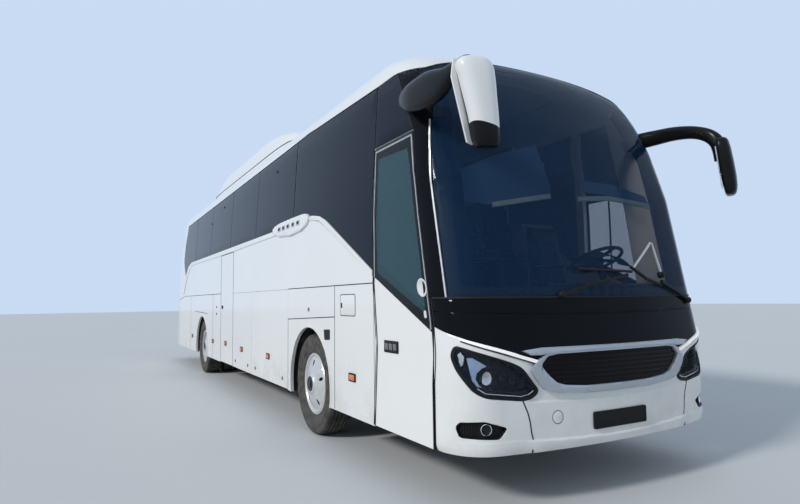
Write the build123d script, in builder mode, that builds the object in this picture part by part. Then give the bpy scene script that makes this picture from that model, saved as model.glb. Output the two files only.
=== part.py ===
from build123d import *
from math import asin, cos, radians, sin
import os

os.makedirs("parts", exist_ok=True)

# A twelve metre, two-axle touring coach with its passenger door on the right.
# Millimetres. +Z is up, the front faces -Y and the coach's right side faces -X.
# The origin is on the ground, under the middle of the whole length and width.
# Distances named along the coach are measured back from the front bumper.

# Driving dimensions of the whole coach
LENGTH = 12295
HALF_WIDTH = 1275
HEIGHT = 3770
MIRROR_REACH = 300
FRONT = MIRROR_REACH - (LENGTH + MIRROR_REACH) / 2
FRONT_AXLE = 2850
WHEELBASE = 6080
REAR_AXLE = FRONT_AXLE + WHEELBASE
SKIRT = 362
WALL = 60
GLASS = 8
SEAM = 6
FAR = 200
RUNNING_GAP = 0.5


# The three views that the sections and panels are drawn in
def level(z):
    return Plane((0, FRONT, z))


def side_view(x):
    return Plane(origin=(x, FRONT, 0), x_dir=(0, 1, 0), z_dir=(1, 0, 0))


def front_view(back):
    return Plane(origin=(0, FRONT + back, 0), x_dir=(1, 0, 0), z_dir=(0, -1, 0))


def finish(piece, name):
    piece.part.label = name
    export_step(piece.part, f"parts/{name}.step")


# Body form: plan outlines at several heights. The nose is a wide arc with
# rounded corners, the windscreen leans back and the roof rounds off above it.
NOSE_RADIUS = 6000
TOP_NOSE_RADIUS = 4000
CORNER_RADIUS = 330
REAR_CORNER = 250
NOSE_TOP = 1000
SIDE_TOP = 2200
TAIL_STEP = 1317
ROOF_EDGE = 3235
ROOF_TOP = 3450
UPPER_REAR = 12150

# height, nose set back, half width, nose radius, corner radius, rear end
LOWER_SECTIONS = [
    (NOSE_TOP, 0, HALF_WIDTH, NOSE_RADIUS, CORNER_RADIUS, UPPER_REAR),
    (SIDE_TOP, 222, HALF_WIDTH, 5000, 300, 12060),
    (2440, 283, 1263, 4500, 300, 11985),
    (2680, 345, 1248, TOP_NOSE_RADIUS, 300, 11900),
]
UPPER_SECTIONS = [
    (2680, 345, 1248, TOP_NOSE_RADIUS, 300, 11900),
    (3005, 505, 1228, TOP_NOSE_RADIUS, 340, 11700),
    (ROOF_EDGE, 690, 1200, TOP_NOSE_RADIUS, 380, 11520),
    (3380, 950, 1090, TOP_NOSE_RADIUS, 390, 11330),
    (ROOF_TOP, 1230, 930, TOP_NOSE_RADIUS, 390, 11100),
]


def plan_outline(nose, half, nose_radius, corner, rear, inset):
    nose, half, rear = nose + inset, half - inset, rear - inset
    nose_radius, corner = nose_radius - inset, corner - inset
    tail = REAR_CORNER - inset
    turn = asin((half - corner) / (nose_radius - corner))
    bow_x = nose_radius * sin(turn)
    bow_y = nose + nose_radius * (1 - cos(turn))
    corner_y = nose + nose_radius - (nose_radius - corner) * cos(turn)
    middle = (turn + radians(90)) / 2
    mid_x = half - corner + corner * sin(middle)
    mid_y = corner_y - corner * cos(middle)
    tail_mid = tail * (1 - sin(radians(45)))
    ThreePointArc((-bow_x, bow_y), (0, nose), (bow_x, bow_y))
    ThreePointArc((bow_x, bow_y), (mid_x, mid_y), (half, corner_y))
    Line((half, corner_y), (half, rear - tail))
    ThreePointArc((half, rear - tail), (half - tail_mid, rear - tail_mid), (half - tail, rear))
    Line((half - tail, rear), (tail - half, rear))
    ThreePointArc((tail - half, rear), (tail_mid - half, rear - tail_mid), (-half, rear - tail))
    Line((-half, rear - tail), (-half, corner_y))
    ThreePointArc((-half, corner_y), (-mid_x, mid_y), (-bow_x, bow_y))


def outline_face(z, outline, inset):
    with BuildSketch(level(z)) as section:
        with BuildLine():
            plan_outline(*outline, inset)
        make_face()
    return section.sketch


def body_form(inset, foot):
    with BuildPart() as form:
        loft([
            outline_face(z - inset if z == ROOF_TOP else z, outline, inset)
            for z, *outline in UPPER_SECTIONS
        ])
        loft([outline_face(z, outline, inset) for z, *outline in LOWER_SECTIONS], ruled=True)
        base = (0, HALF_WIDTH, NOSE_RADIUS, CORNER_RADIUS, LENGTH)
        extrude(outline_face(foot, base, inset), amount=NOSE_TOP - foot)
        with BuildSketch(level(NOSE_TOP)):
            with BuildLine():
                plan_outline(0, HALF_WIDTH, NOSE_RADIUS, CORNER_RADIUS, LENGTH, inset)
            make_face()
            with Locations((0, UPPER_REAR - 2 * REAR_CORNER)):
                Rectangle(2 * HALF_WIDTH + FAR, LENGTH, align=(Align.CENTER, Align.MIN), mode=Mode.INTERSECT)
        extrude(amount=TAIL_STEP - inset - NOSE_TOP)
    return form.part


outer_form = body_form(0, SKIRT)
glass_back = body_form(GLASS, SKIRT - 20)
inner_form = body_form(WALL, SKIRT - 20)

with BuildPart() as skin:
    add(outer_form)
    add(inner_form, mode=Mode.SUBTRACT)
with BuildPart() as glazing:
    add(outer_form)
    add(glass_back, mode=Mode.SUBTRACT)


# A region of the body drawn in side view, kept or cut on one side of the coach
SIDE_START = 1015


def side_region(points, side, mode):
    with BuildSketch(side_view(side * SIDE_START)) as region:
        with BuildLine():
            Polyline(*points, close=True)
        make_face()
    extrude(region.sketch, amount=side * (HALF_WIDTH + FAR - SIDE_START), mode=mode)


def front_region(points, start, stop, mode):
    with BuildSketch(front_view(stop)) as region:
        with BuildLine():
            Polyline(*points, close=True)
        make_face()
    extrude(region.sketch, amount=stop - start, mode=mode)


def rectangle(low_y, low_z, high_y, high_z):
    return [(low_y, low_z), (high_y, low_z), (high_y, high_z), (low_y, high_z)]


def grown(box, gap):
    low_y, low_z, high_y, high_z = box
    return rectangle(low_y - gap, low_z - gap, high_y + gap, high_z + gap)


RIGHT, LEFT = -1, 1

# Doors: front door with a leaning front edge, mid door below the glass
DOOR_GAP = 12
DOOR_FOOT = 372
FRONT_DOOR_FRONT = 435
FRONT_DOOR_REAR = 1320
FRONT_DOOR_TOP = 2600
DOOR_LEAN_FOOT = 1200
DOOR_LEAN_TOP = 700
MID_DOOR_FRONT = 6290
MID_DOOR_REAR = 7205
MID_DOOR_TOP = 2150


def door_edge(z):
    lean = (DOOR_LEAN_TOP - FRONT_DOOR_FRONT) / (FRONT_DOOR_TOP - DOOR_LEAN_FOOT)
    return FRONT_DOOR_FRONT + lean * (z - DOOR_LEAN_FOOT)


def front_door_outline(gap):
    foot = DOOR_FOOT - gap - (FAR if gap > 0 else 0)
    return [
        (FRONT_DOOR_FRONT - gap, foot),
        (FRONT_DOOR_REAR + gap, foot),
        (FRONT_DOOR_REAR + gap, FRONT_DOOR_TOP + gap),
        (door_edge(FRONT_DOOR_TOP + gap) - gap, FRONT_DOOR_TOP + gap),
        (FRONT_DOOR_FRONT - gap, DOOR_LEAN_FOOT),
    ]


# Luggage flaps, hinged at their top edge: side, front end and rear end
FLAP_TOP = 1490
HINGE_RADIUS = 9
HINGE_LIP = 3.5
FLAPS = {
    "flap_right_front": (RIGHT, 3545, 5160),
    "flap_right_rear": (RIGHT, 5160, 6290),
    "flap_left_front": (LEFT, 3545, 5160),
    "flap_left_middle": (LEFT, 5160, 6730),
    "flap_left_rear": (LEFT, 6730, 8255),
}

# Side glass: its lower edge falls to the front and its rear end is a point
BELT = 2235
GLASS_FRONT = 1330
GLASS_KNEE = 2700
GLASS_DIP = 1575
GLASS_TOP_FRONT = 3150
GLASS_TOP = 3180
GLASS_REAR = 11380
GLASS_TIP = 11080
GLASS_TIP_HEIGHT = 1960
SIDE_GLASS = [
    (GLASS_FRONT, GLASS_DIP),
    (GLASS_KNEE, BELT),
    (10300, BELT),
    (10700, 2170),
    (GLASS_TIP, GLASS_TIP_HEIGHT),
    (GLASS_REAR, 2350),
    (GLASS_REAR - 40, 2700),
    (GLASS_TIP, GLASS_TOP - 60),
    (3000, GLASS_TOP + 20),
    (GLASS_FRONT, GLASS_TOP_FRONT),
]
LEFT_GLASS_FRONT = 640
LEFT_GLASS_DIP = 1270

# Window openings in the structure behind the side glass, between the posts
POST = 90
POSTS = [1450, 2700, 4200, 5700, 7200, 8700, 10200, 11150]
WINDOW_FOOT = BELT + 40
WINDOW_HEAD = 3080

HINGE_X = HALF_WIDTH - HINGE_RADIUS
WHEEL_ARCH = 590
ARCH_HEIGHT = 506
LINER_GAP = 10
TAIL_START = 11900
MASK_TOP = 1375
MASK_FOOT = 1010
SCREEN_TOP = 3340
SCREEN_SIDE_LOW = 319
SCREEN_SIDE_HIGH = 592
SCREEN_SIDE_HEIGHT = 2777
SCREEN_CROWN = 3100
PILLAR_BACK = 980
CORNER_END = FRONT_DOOR_FRONT - DOOR_GAP
HEADER_FOOT = FRONT_DOOR_TOP + DOOR_GAP
TAIL_ROOF = GLASS_TOP - 30


# The line where the front corner pieces meet the side walls and the door
def corner_edge(z):
    return door_edge(z) - DOOR_GAP


OVER_DOOR = [
    (GLASS_FRONT + 2, HEADER_FOOT),
    (GLASS_FRONT + 2, GLASS_TOP_FRONT),
    (PILLAR_BACK, GLASS_TOP_FRONT),
    (corner_edge(HEADER_FOOT), HEADER_FOOT),
]
ROOF_LINE = [
    (-FAR, GLASS_TOP_FRONT), (GLASS_FRONT, GLASS_TOP_FRONT), (3000, GLASS_TOP + 20),
    (GLASS_TIP, GLASS_TOP - 60), (LENGTH + FAR, TAIL_ROOF),
]


def roof_line(y):
    for (y0, z0), (y1, z1) in zip(ROOF_LINE, ROOF_LINE[1:]):
        if y0 <= y <= y1:
            return z0 + (z1 - z0) * (y - y0) / (y1 - y0)


def side_glass(side):
    outline = list(SIDE_GLASS)
    if side == LEFT:
        outline[0] = (LEFT_GLASS_FRONT, LEFT_GLASS_DIP)
        outline.append((PILLAR_BACK, GLASS_TOP_FRONT))
    with BuildPart() as glass:
        add(glazing.part)
        side_region(outline, side, Mode.INTERSECT)
    if side == LEFT:
        return glass
    with BuildPart() as panel:
        add(glazing.part)
        side_region(OVER_DOOR, side, Mode.INTERSECT)
        add(glass.part)
    return panel


def side_wall(side, glass):
    with BuildPart() as wall:
        add(skin.part)
        side_region([
            (CORNER_END, SKIRT - FAR),
            (TAIL_START, SKIRT - FAR),
            (TAIL_START, roof_line(TAIL_START)),
            (GLASS_TIP, roof_line(GLASS_TIP)),
            (3000, roof_line(3000)),
            (GLASS_FRONT, GLASS_TOP_FRONT),
            (PILLAR_BACK, GLASS_TOP_FRONT),
            (corner_edge(HEADER_FOOT), HEADER_FOOT),
            (CORNER_END, DOOR_LEAN_FOOT),
        ], side, Mode.INTERSECT)
        for front, rear in zip(POSTS, POSTS[1:]):
            front_foot = GLASS_DIP + 110 if front < GLASS_KNEE else WINDOW_FOOT
            if front == POSTS[-2]:
                side_region([
                    (front + POST / 2, WINDOW_FOOT), (rear - 500, WINDOW_FOOT), (rear - 100, WINDOW_FOOT + 150),
                    (rear, WINDOW_HEAD - 100), (front + POST / 2, WINDOW_HEAD),
                ], side, Mode.SUBTRACT)
            else:
                side_region([
                    (front + POST / 2, front_foot), (rear - POST / 2, WINDOW_FOOT),
                    (rear - POST / 2, WINDOW_HEAD), (front + POST / 2, WINDOW_HEAD),
                ], side, Mode.SUBTRACT)
        for axle in (FRONT_AXLE, REAR_AXLE):
            with BuildSketch(side_view(0)):
                with Locations((axle, ARCH_HEIGHT)):
                    Circle(WHEEL_ARCH)
            extrude(amount=side * (HALF_WIDTH + FAR), mode=Mode.SUBTRACT)
        for flap_side, front, rear in FLAPS.values():
            if flap_side == side:
                side_region(rectangle(front, SKIRT - FAR, rear, FLAP_TOP + SEAM / 2), side, Mode.SUBTRACT)
                with BuildSketch(front_view(rear)):
                    with Locations((side * HINGE_X, FLAP_TOP)):
                        Circle(HINGE_RADIUS + RUNNING_GAP)
                    with Locations((side * (HINGE_X + FAR / 2), FLAP_TOP)):
                        Rectangle(FAR, 2 * (HINGE_RADIUS + HINGE_LIP))
                extrude(amount=rear - front, mode=Mode.SUBTRACT)
        if side == LEFT:
            side_region([
                (LEFT_GLASS_FRONT + 130, LEFT_GLASS_DIP + 130), (POSTS[0] - POST / 2, GLASS_DIP + 110),
                (POSTS[0] - POST / 2, WINDOW_HEAD), (PILLAR_BACK + 40, WINDOW_HEAD),
            ], side, Mode.SUBTRACT)
        else:
            side_region(front_door_outline(DOOR_GAP), side, Mode.SUBTRACT)
            mid = (MID_DOOR_FRONT, DOOR_FOOT - FAR, MID_DOOR_REAR, MID_DOOR_TOP)
            side_region(grown(mid, DOOR_GAP / 2), side, Mode.SUBTRACT)
        add(glass.part, mode=Mode.SUBTRACT)
    return wall


for side, name in ((RIGHT, "right"), (LEFT, "left")):
    glass = side_glass(side)
    finish(glass, f"side_glass_{name}")
    wall = side_wall(side, glass)
    finish(wall, f"side_wall_{name}")


# Roof: the white skin above the side glass, cut back in front by the windscreen
def below_screen_top(start, stop, mode):
    with BuildSketch(front_view(stop)) as arch:
        with BuildLine():
            edge = HALF_WIDTH + FAR
            fall = (SCREEN_TOP - SCREEN_CROWN) * (edge / 1200) ** 2
            ThreePointArc((-edge, SCREEN_TOP - fall), (0, SCREEN_TOP), (edge, SCREEN_TOP - fall))
            Polyline((edge, SCREEN_TOP - fall), (edge, MASK_TOP), (-edge, MASK_TOP),
                     (-edge, SCREEN_TOP - fall))
        make_face()
    extrude(arch.sketch, amount=stop - start, mode=mode)


def across(points, mode):
    with BuildSketch(side_view(0)) as region:
        with BuildLine():
            Polyline(*points, close=True)
        make_face()
    extrude(region.sketch, amount=HALF_WIDTH + FAR, both=True, mode=mode)


with BuildPart() as roof:
    add(skin.part)
    across([*ROOF_LINE, (LENGTH + FAR, HEIGHT), (-FAR, HEIGHT)], Mode.INTERSECT)
    below_screen_top(-FAR, PILLAR_BACK, Mode.SUBTRACT)
finish(roof, "roof")

# Windscreen and the black pillars and header that it is bonded to
SCREEN_ZONE = [
    (-FAR, MASK_TOP), (SCREEN_SIDE_LOW, MASK_TOP), (SCREEN_SIDE_HIGH, SCREEN_SIDE_HEIGHT),
    (860, 3200), (PILLAR_BACK, SCREEN_TOP), (-FAR, SCREEN_TOP),
]
with BuildPart() as windscreen:
    add(glazing.part)
    across(SCREEN_ZONE, Mode.INTERSECT)
    below_screen_top(-FAR, PILLAR_BACK, Mode.INTERSECT)
finish(windscreen, "windscreen")

SCREEN_OPENING = [
    (-1090, MASK_TOP + 70), (1090, MASK_TOP + 70), (1060, 2600), (1010, 2900), (850, 3080),
    (450, 3200), (-450, 3200), (-850, 3080), (-1010, 2900), (-1060, 2600),
]
with BuildPart() as front_frame:
    add(skin.part)
    across([
        (-FAR, MASK_TOP), (corner_edge(MASK_TOP), MASK_TOP), (corner_edge(HEADER_FOOT), HEADER_FOOT),
        (PILLAR_BACK, GLASS_TOP_FRONT), (PILLAR_BACK, SCREEN_TOP), (-FAR, SCREEN_TOP),
    ], Mode.INTERSECT)
    below_screen_top(-FAR, PILLAR_BACK, Mode.INTERSECT)
    add(windscreen.part, mode=Mode.SUBTRACT)
    front_region(SCREEN_OPENING, -FAR, PILLAR_BACK, Mode.SUBTRACT)
finish(front_frame, "front_frame")


# Nose: black mask under the windscreen, white bumper, headlamps and grille
def mirrored(half):
    return [*half, *[(-x, z) for x, z in reversed(half)]]


MASK_EDGE = [(640, MASK_FOOT), (720, 955), (1214, 1150), (1300, 1190)]
MASK_AREA = mirrored([*MASK_EDGE, (1300, MASK_TOP)])
HEADLAMP = [
    (708, 754), (826, 691), (1101, 720), (1148, 739), (1214, 831), (1251, 997), (1232, 1068),
    (878, 919), (813, 875),
]
GRILLE = mirrored([(430, 780), (575, 810), (700, 930), (635, 990)])
GRILLE_FRAME = mirrored([(440, 742), (640, 745), (752, 905), (660, MASK_FOOT)])
NOSE_DEPTH = CORNER_END + 40
NOSE_ZONE = [
    (-FAR, SKIRT - FAR), (CORNER_END, SKIRT - FAR), (CORNER_END, DOOR_LEAN_FOOT),
    (corner_edge(MASK_TOP), MASK_TOP), (-FAR, MASK_TOP),
]

with BuildPart() as front_mask:
    add(skin.part)
    across(NOSE_ZONE, Mode.INTERSECT)
    front_region(MASK_AREA, -FAR, NOSE_DEPTH, Mode.INTERSECT)
    front_region(GRILLE_FRAME, -FAR, NOSE_DEPTH, Mode.SUBTRACT)
finish(front_mask, "front_mask")

with BuildPart() as headlamps:
    add(skin.part)
    with BuildSketch(front_view(NOSE_DEPTH)):
        with BuildLine():
            Polyline(*HEADLAMP, close=True)
        make_face()
        mirror(about=Plane.YZ)
    extrude(amount=NOSE_DEPTH + FAR, mode=Mode.INTERSECT)
    across(NOSE_ZONE, Mode.INTERSECT)
finish(headlamps, "headlamps")

with BuildPart() as grille:
    add(skin.part)
    front_region(GRILLE, -FAR, NOSE_DEPTH, Mode.INTERSECT)
finish(grille, "grille")

with BuildPart() as grille_frame:
    add(skin.part)
    front_region(GRILLE_FRAME, -FAR, NOSE_DEPTH, Mode.INTERSECT)
    front_region(GRILLE, -FAR, NOSE_DEPTH, Mode.SUBTRACT)
finish(grille_frame, "grille_frame")

with BuildPart() as front_bumper:
    add(skin.part)
    across(NOSE_ZONE, Mode.INTERSECT)
    front_region(MASK_AREA, -FAR, NOSE_DEPTH, Mode.SUBTRACT)
    front_region(GRILLE_FRAME, -FAR, NOSE_DEPTH, Mode.SUBTRACT)
    add(headlamps.part, mode=Mode.SUBTRACT)
finish(front_bumper, "front_bumper")


# Tail: rear wall with its window, tail lamps, bumper and the engine lid
BUMPER_TOP = 480
LID_HALF = 860
LID_FOOT = 560
LID_TOP = 1240
LID_HINGE = LID_TOP + SEAM / 2
REAR_GLASS = mirrored([(900, 2050), (860, 2950)])
REAR_OPENING = mirrored([(830, 2120), (790, 2880)])
TAIL_LAMP = rectangle(940, 700, 1110, 1220)
TAIL_DEPTH = 11000

with BuildPart() as rear_glass:
    add(glazing.part)
    front_region(REAR_GLASS, TAIL_DEPTH, LENGTH + FAR, Mode.INTERSECT)
finish(rear_glass, "rear_glass")

with BuildPart() as tail_lamps:
    add(skin.part)
    with BuildSketch(front_view(LENGTH + FAR)):
        with BuildLine():
            Polyline(*TAIL_LAMP, close=True)
        make_face()
        mirror(about=Plane.YZ)
    extrude(amount=2 * FAR + REAR_CORNER, mode=Mode.INTERSECT)
finish(tail_lamps, "tail_lamps")

with BuildPart() as rear_wall:
    add(skin.part)
    across([
        (TAIL_START, BUMPER_TOP), (LENGTH + FAR, BUMPER_TOP), (LENGTH + FAR, TAIL_ROOF),
        (GLASS_TIP, roof_line(GLASS_TIP)), (GLASS_TIP, TAIL_STEP), (TAIL_START, TAIL_STEP),
    ], Mode.INTERSECT)
    with BuildSketch(level(BUMPER_TOP)):
        with Locations((0, GLASS_TIP)):
            Rectangle(2 * HALF_WIDTH + FAR, TAIL_START - GLASS_TIP, align=(Align.CENTER, Align.MIN))
            Rectangle(2 * SIDE_START, TAIL_START - GLASS_TIP, align=(Align.CENTER, Align.MIN), mode=Mode.SUBTRACT)
    extrude(amount=HEIGHT, mode=Mode.SUBTRACT)
    add(rear_glass.part, mode=Mode.SUBTRACT)
    add(tail_lamps.part, mode=Mode.SUBTRACT)
    front_region(REAR_OPENING, TAIL_DEPTH, LENGTH + FAR, Mode.SUBTRACT)
    lid_hole = rectangle(-LID_HALF - SEAM, LID_FOOT - SEAM, LID_HALF + SEAM, LID_TOP + SEAM)
    front_region(lid_hole, TAIL_START, LENGTH + FAR, Mode.SUBTRACT)
    with BuildSketch(side_view(-LID_HALF - SEAM)):
        with Locations((LENGTH - HINGE_RADIUS, LID_HINGE)):
            Circle(HINGE_RADIUS + RUNNING_GAP)
        with Locations((LENGTH - HINGE_RADIUS + FAR / 2, LID_HINGE)):
            Rectangle(FAR, 2 * (HINGE_RADIUS + HINGE_LIP))
    extrude(amount=2 * (LID_HALF + SEAM), mode=Mode.SUBTRACT)
finish(rear_wall, "rear_wall")

with BuildPart() as rear_bumper:
    add(skin.part)
    across(rectangle(TAIL_START, SKIRT, LENGTH + FAR, BUMPER_TOP), Mode.INTERSECT)
finish(rear_bumper, "rear_bumper")

with BuildPart() as engine_lid:
    add(skin.part)
    lid_outline = rectangle(-LID_HALF, LID_FOOT, LID_HALF, LID_TOP)
    front_region(lid_outline, TAIL_START, LENGTH + FAR, Mode.INTERSECT)
    with BuildSketch(side_view(-LID_HALF)):
        with Locations((LENGTH - HINGE_RADIUS, LID_HINGE)):
            Circle(HINGE_RADIUS)
    extrude(amount=2 * LID_HALF)
finish(engine_lid, "engine_lid")

# Door drives: a turning post with two arms that carry each door on its middle
POST_X = -1150
POST_INSET = 135
ARM = 470
POST_RADIUS = 22
EYE_RADIUS = 24
PIN_RADIUS = 10
ARM_HEIGHT = 40
ARM_LEVELS = (620, 1120)
LUG = 16
LUG_GAP = 1
# door, travel direction, pivot distance along the coach
DOOR_DRIVES = {
    "front_door": (1, FRONT_DOOR_FRONT + POST_INSET),
    "mid_door": (-1, MID_DOOR_REAR - POST_INSET),
}
POST_FOOT = 420.3
POST_TOP = 1180


def door_arm(name):
    reach, pivot = DOOR_DRIVES[name]
    with BuildPart() as arm:
        with BuildSketch(level(POST_FOOT)):
            with Locations((POST_X, pivot)):
                Circle(POST_RADIUS)
        extrude(amount=POST_TOP - POST_FOOT)
        for height in ARM_LEVELS:
            with BuildSketch(level(height)):
                with Locations((POST_X, pivot + reach * ARM)):
                    Circle(EYE_RADIUS)
                with Locations((POST_X, pivot + reach * ARM / 2)):
                    Rectangle(ARM_HEIGHT, ARM)
                with Locations((POST_X, pivot + reach * ARM)):
                    Circle(PIN_RADIUS + RUNNING_GAP, mode=Mode.SUBTRACT)
            extrude(amount=ARM_HEIGHT)
    return arm


def add_door_lugs(name):
    reach, pivot = DOOR_DRIVES[name]
    inner_face = HALF_WIDTH - WALL
    for height in ARM_LEVELS:
        for foot in (height - LUG_GAP - LUG, height + ARM_HEIGHT + LUG_GAP):
            with BuildSketch(level(foot)) as lug:
                with Locations((POST_X, pivot + reach * ARM)):
                    Circle(EYE_RADIUS)
                with Locations(((POST_X - inner_face) / 2, pivot + reach * ARM)):
                    Rectangle(inner_face + POST_X, 2 * EYE_RADIUS)
            extrude(lug.sketch, amount=LUG)
        with BuildSketch(level(height - LUG_GAP - LUG)) as pin:
            with Locations((POST_X, pivot + reach * ARM)):
                Circle(PIN_RADIUS)
        extrude(pin.sketch, amount=ARM_HEIGHT + 2 * (LUG_GAP + LUG))


DOOR_GLASS = [(FRONT_DOOR_FRONT + 42, 1205), (FRONT_DOOR_REAR - 42, 1600), (FRONT_DOOR_REAR - 42, 2555),
              (DOOR_LEAN_TOP + 38, 2555), (FRONT_DOOR_FRONT + 42, 1240)]
with BuildPart() as front_door_glass:
    add(glazing.part)
    side_region(DOOR_GLASS, RIGHT, Mode.INTERSECT)
finish(front_door_glass, "front_door_glass")

with BuildPart() as front_door:
    add(skin.part)
    side_region(front_door_outline(0), RIGHT, Mode.INTERSECT)
    add(front_door_glass.part, mode=Mode.SUBTRACT)
    side_region([
        (FRONT_DOOR_FRONT + 90, 1300), (FRONT_DOOR_REAR - 90, 1660), (FRONT_DOOR_REAR - 90, 2500),
        (DOOR_LEAN_TOP + 70, 2500),
    ], RIGHT, Mode.SUBTRACT)
    add_door_lugs("front_door")
finish(front_door, "front_door")

with BuildPart() as mid_door:
    add(skin.part)
    side_region(rectangle(MID_DOOR_FRONT + DOOR_GAP / 2, DOOR_FOOT, MID_DOOR_REAR - DOOR_GAP / 2,
                          MID_DOOR_TOP), RIGHT, Mode.INTERSECT)
    add_door_lugs("mid_door")
finish(mid_door, "mid_door")
for name in DOOR_DRIVES:
    finish(door_arm(name), f"{name}_arm")

for name, (side, front, rear) in FLAPS.items():
    with BuildPart() as flap:
        add(skin.part)
        panel = rectangle(front + SEAM / 2, DOOR_FOOT, rear - SEAM / 2, FLAP_TOP - SEAM / 2)
        side_region(panel, side, Mode.INTERSECT)
        with BuildSketch(front_view(rear - SEAM / 2)):
            with Locations((side * HINGE_X, FLAP_TOP)):
                Circle(HINGE_RADIUS)
        extrude(amount=rear - front - SEAM)
    finish(flap, name)

# Roof unit: a long white fairing over the air conditioning
UNIT_FRONT = 3860
UNIT_REAR = 9465
UNIT_HALF = 1075
UNIT_SHOULDER = 150
UNIT_SIDE_LEAN = 20
UNIT_CROWN = 17
UNIT_FOOT = 3300
with BuildPart() as roof_unit:
    with BuildSketch(side_view(0)):
        with BuildLine():
            nose = ThreePointArc((UNIT_FRONT, 3400), (4400, 3670), (5300, 3745))
            ThreePointArc(nose @ 1, (6400, HEIGHT), (7600, 3745))
            ThreePointArc((7600, 3745), (8700, 3640), (UNIT_REAR, 3400))
            Polyline((UNIT_REAR, 3400), (UNIT_REAR, UNIT_FOOT), (UNIT_FRONT, UNIT_FOOT), (UNIT_FRONT, 3400))
        make_face()
    extrude(amount=UNIT_HALF, both=True)
    with BuildSketch(front_view(UNIT_REAR)):
        with BuildLine():
            top = HEIGHT - UNIT_CROWN
            shoulder = UNIT_HALF - UNIT_SIDE_LEAN
            ThreePointArc((shoulder - UNIT_SHOULDER, top), (0, HEIGHT), (UNIT_SHOULDER - shoulder, top))
            RadiusArc((shoulder - UNIT_SHOULDER, top), (shoulder, top - UNIT_SHOULDER), UNIT_SHOULDER)
            RadiusArc((-shoulder, top - UNIT_SHOULDER), (UNIT_SHOULDER - shoulder, top), UNIT_SHOULDER)
            Polyline((shoulder, top - UNIT_SHOULDER), (UNIT_HALF, UNIT_FOOT), (-UNIT_HALF, UNIT_FOOT),
                     (-shoulder, top - UNIT_SHOULDER))
        make_face()
    extrude(amount=UNIT_REAR - UNIT_FRONT, mode=Mode.INTERSECT)
    add(outer_form, mode=Mode.SUBTRACT)
finish(roof_unit, "roof_unit")

# Mirrors: gooseneck arms from the roof corners with heads hung in front
# side, path of the arm as x, back from the bumper, height
HEAD_THICK = 130
MIRRORS = {
    "mirror_right": (RIGHT, (1190, 850, 2950), (1330, 330, 3010), (1340, -215, 2780)),
    "mirror_left": (LEFT, (1060, 720, 2860), (1280, 220, 2930), (1360, -215, 2640)),
}
HEAD_OUTLINES = {
    "mirror_right": [(1235, 2810), (1435, 2795), (1460, 2730), (1460, 2660), (1395, 2300), (1330, 2263),
                     (1142, 2263), (1140, 2480), (1190, 2700)],
    "mirror_left": [(1290, 2680), (1435, 2660), (1460, 2590), (1460, 2520), (1430, 2230), (1380, 2190),
                    (1260, 2190), (1240, 2300), (1265, 2560)],
}
HEAD_ROUND = 30
ARM_WIDTH = 90
ARM_THICK = 45
ARM_ROUND = 20

for name, (side, root, bend, end) in MIRRORS.items():
    with BuildPart() as mirror_piece:
        with BuildLine() as path:
            ThreePointArc(*[(side * x, FRONT + back, z) for x, back, z in (root, bend, end)])
        with BuildSketch(Plane(path.line @ 0, x_dir=(0, 0, 1), z_dir=path.line % 0)):
            RectangleRounded(ARM_WIDTH, ARM_THICK, ARM_ROUND)
        sweep(path=path.line)
        with BuildSketch(front_view(HEAD_THICK - MIRROR_REACH)) as head:
            with BuildLine():
                Polyline(*[(side * x, z) for x, z in HEAD_OUTLINES[name]], close=True)
            make_face()
            fillet(head.vertices(), HEAD_ROUND)
        extrude(amount=HEAD_THICK)
        add(outer_form, mode=Mode.SUBTRACT)
    finish(mirror_piece, name)

# Cabin floor: passenger deck over the hold, lower driver's deck and two stairs
DECK = 1400
DECK_THICK = 40
DECK_HALF = HALF_WIDTH - WALL - 10
DRIVER_DECK = 1000
DECK_FRONT = 1420
DECK_REAR = 12060
STAIR_INNER = 350
MID_STAIR_INNER = 420
STEP_THICK = 30
STAIR_FOOT = 420
STAIR_STEPS = 4
TAIL_INNER = 11840
TAIL_CORNER = 190


# One flat board or plate between two corners: west, front, foot and east, rear, top
def slab(west, front, foot, east, rear, top):
    with BuildPart() as board:
        with Locations((west, FRONT + front, foot)):
            Box(east - west, rear - front, top - foot, align=(Align.MIN, Align.MIN, Align.MIN))
    return board.part.solid()


def finish_boards(boards, name):
    group = Compound(boards)
    group.label = name
    export_step(group, f"parts/{name}.step")


# A stair is a tread and the riser behind it for each step, from the door inwards
def stair(inner, top, front, rear, steps):
    rise = (top - STAIR_FOOT) / steps
    tread = (DECK_HALF - inner) / steps
    boards = []
    for step in range(steps):
        x = -DECK_HALF + tread * step
        z = STAIR_FOOT + rise * step
        last = step == steps - 1
        boards.append(slab(x, front, z - STEP_THICK, x + tread, rear, z))
        boards.append(slab(x + tread, front, z - STEP_THICK, x + tread + STEP_THICK, rear,
                           z + rise - (DECK_THICK if last else STEP_THICK)))
    return boards


WALL_INNER = HALF_WIDTH - WALL
HOLD_FLOOR = 400
HOLD_FRONT = 3505
HOLD_REAR = 8300
BULKHEAD = 30
DECK_LOW = DECK - DECK_THICK
DRIVER_LOW = DRIVER_DECK - DECK_THICK
DECK_BACK = DECK_FRONT + DECK_THICK
FLAPS_FRONT = HOLD_FRONT + BULKHEAD
FLAPS_REAR = HOLD_REAR - BULKHEAD

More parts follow.
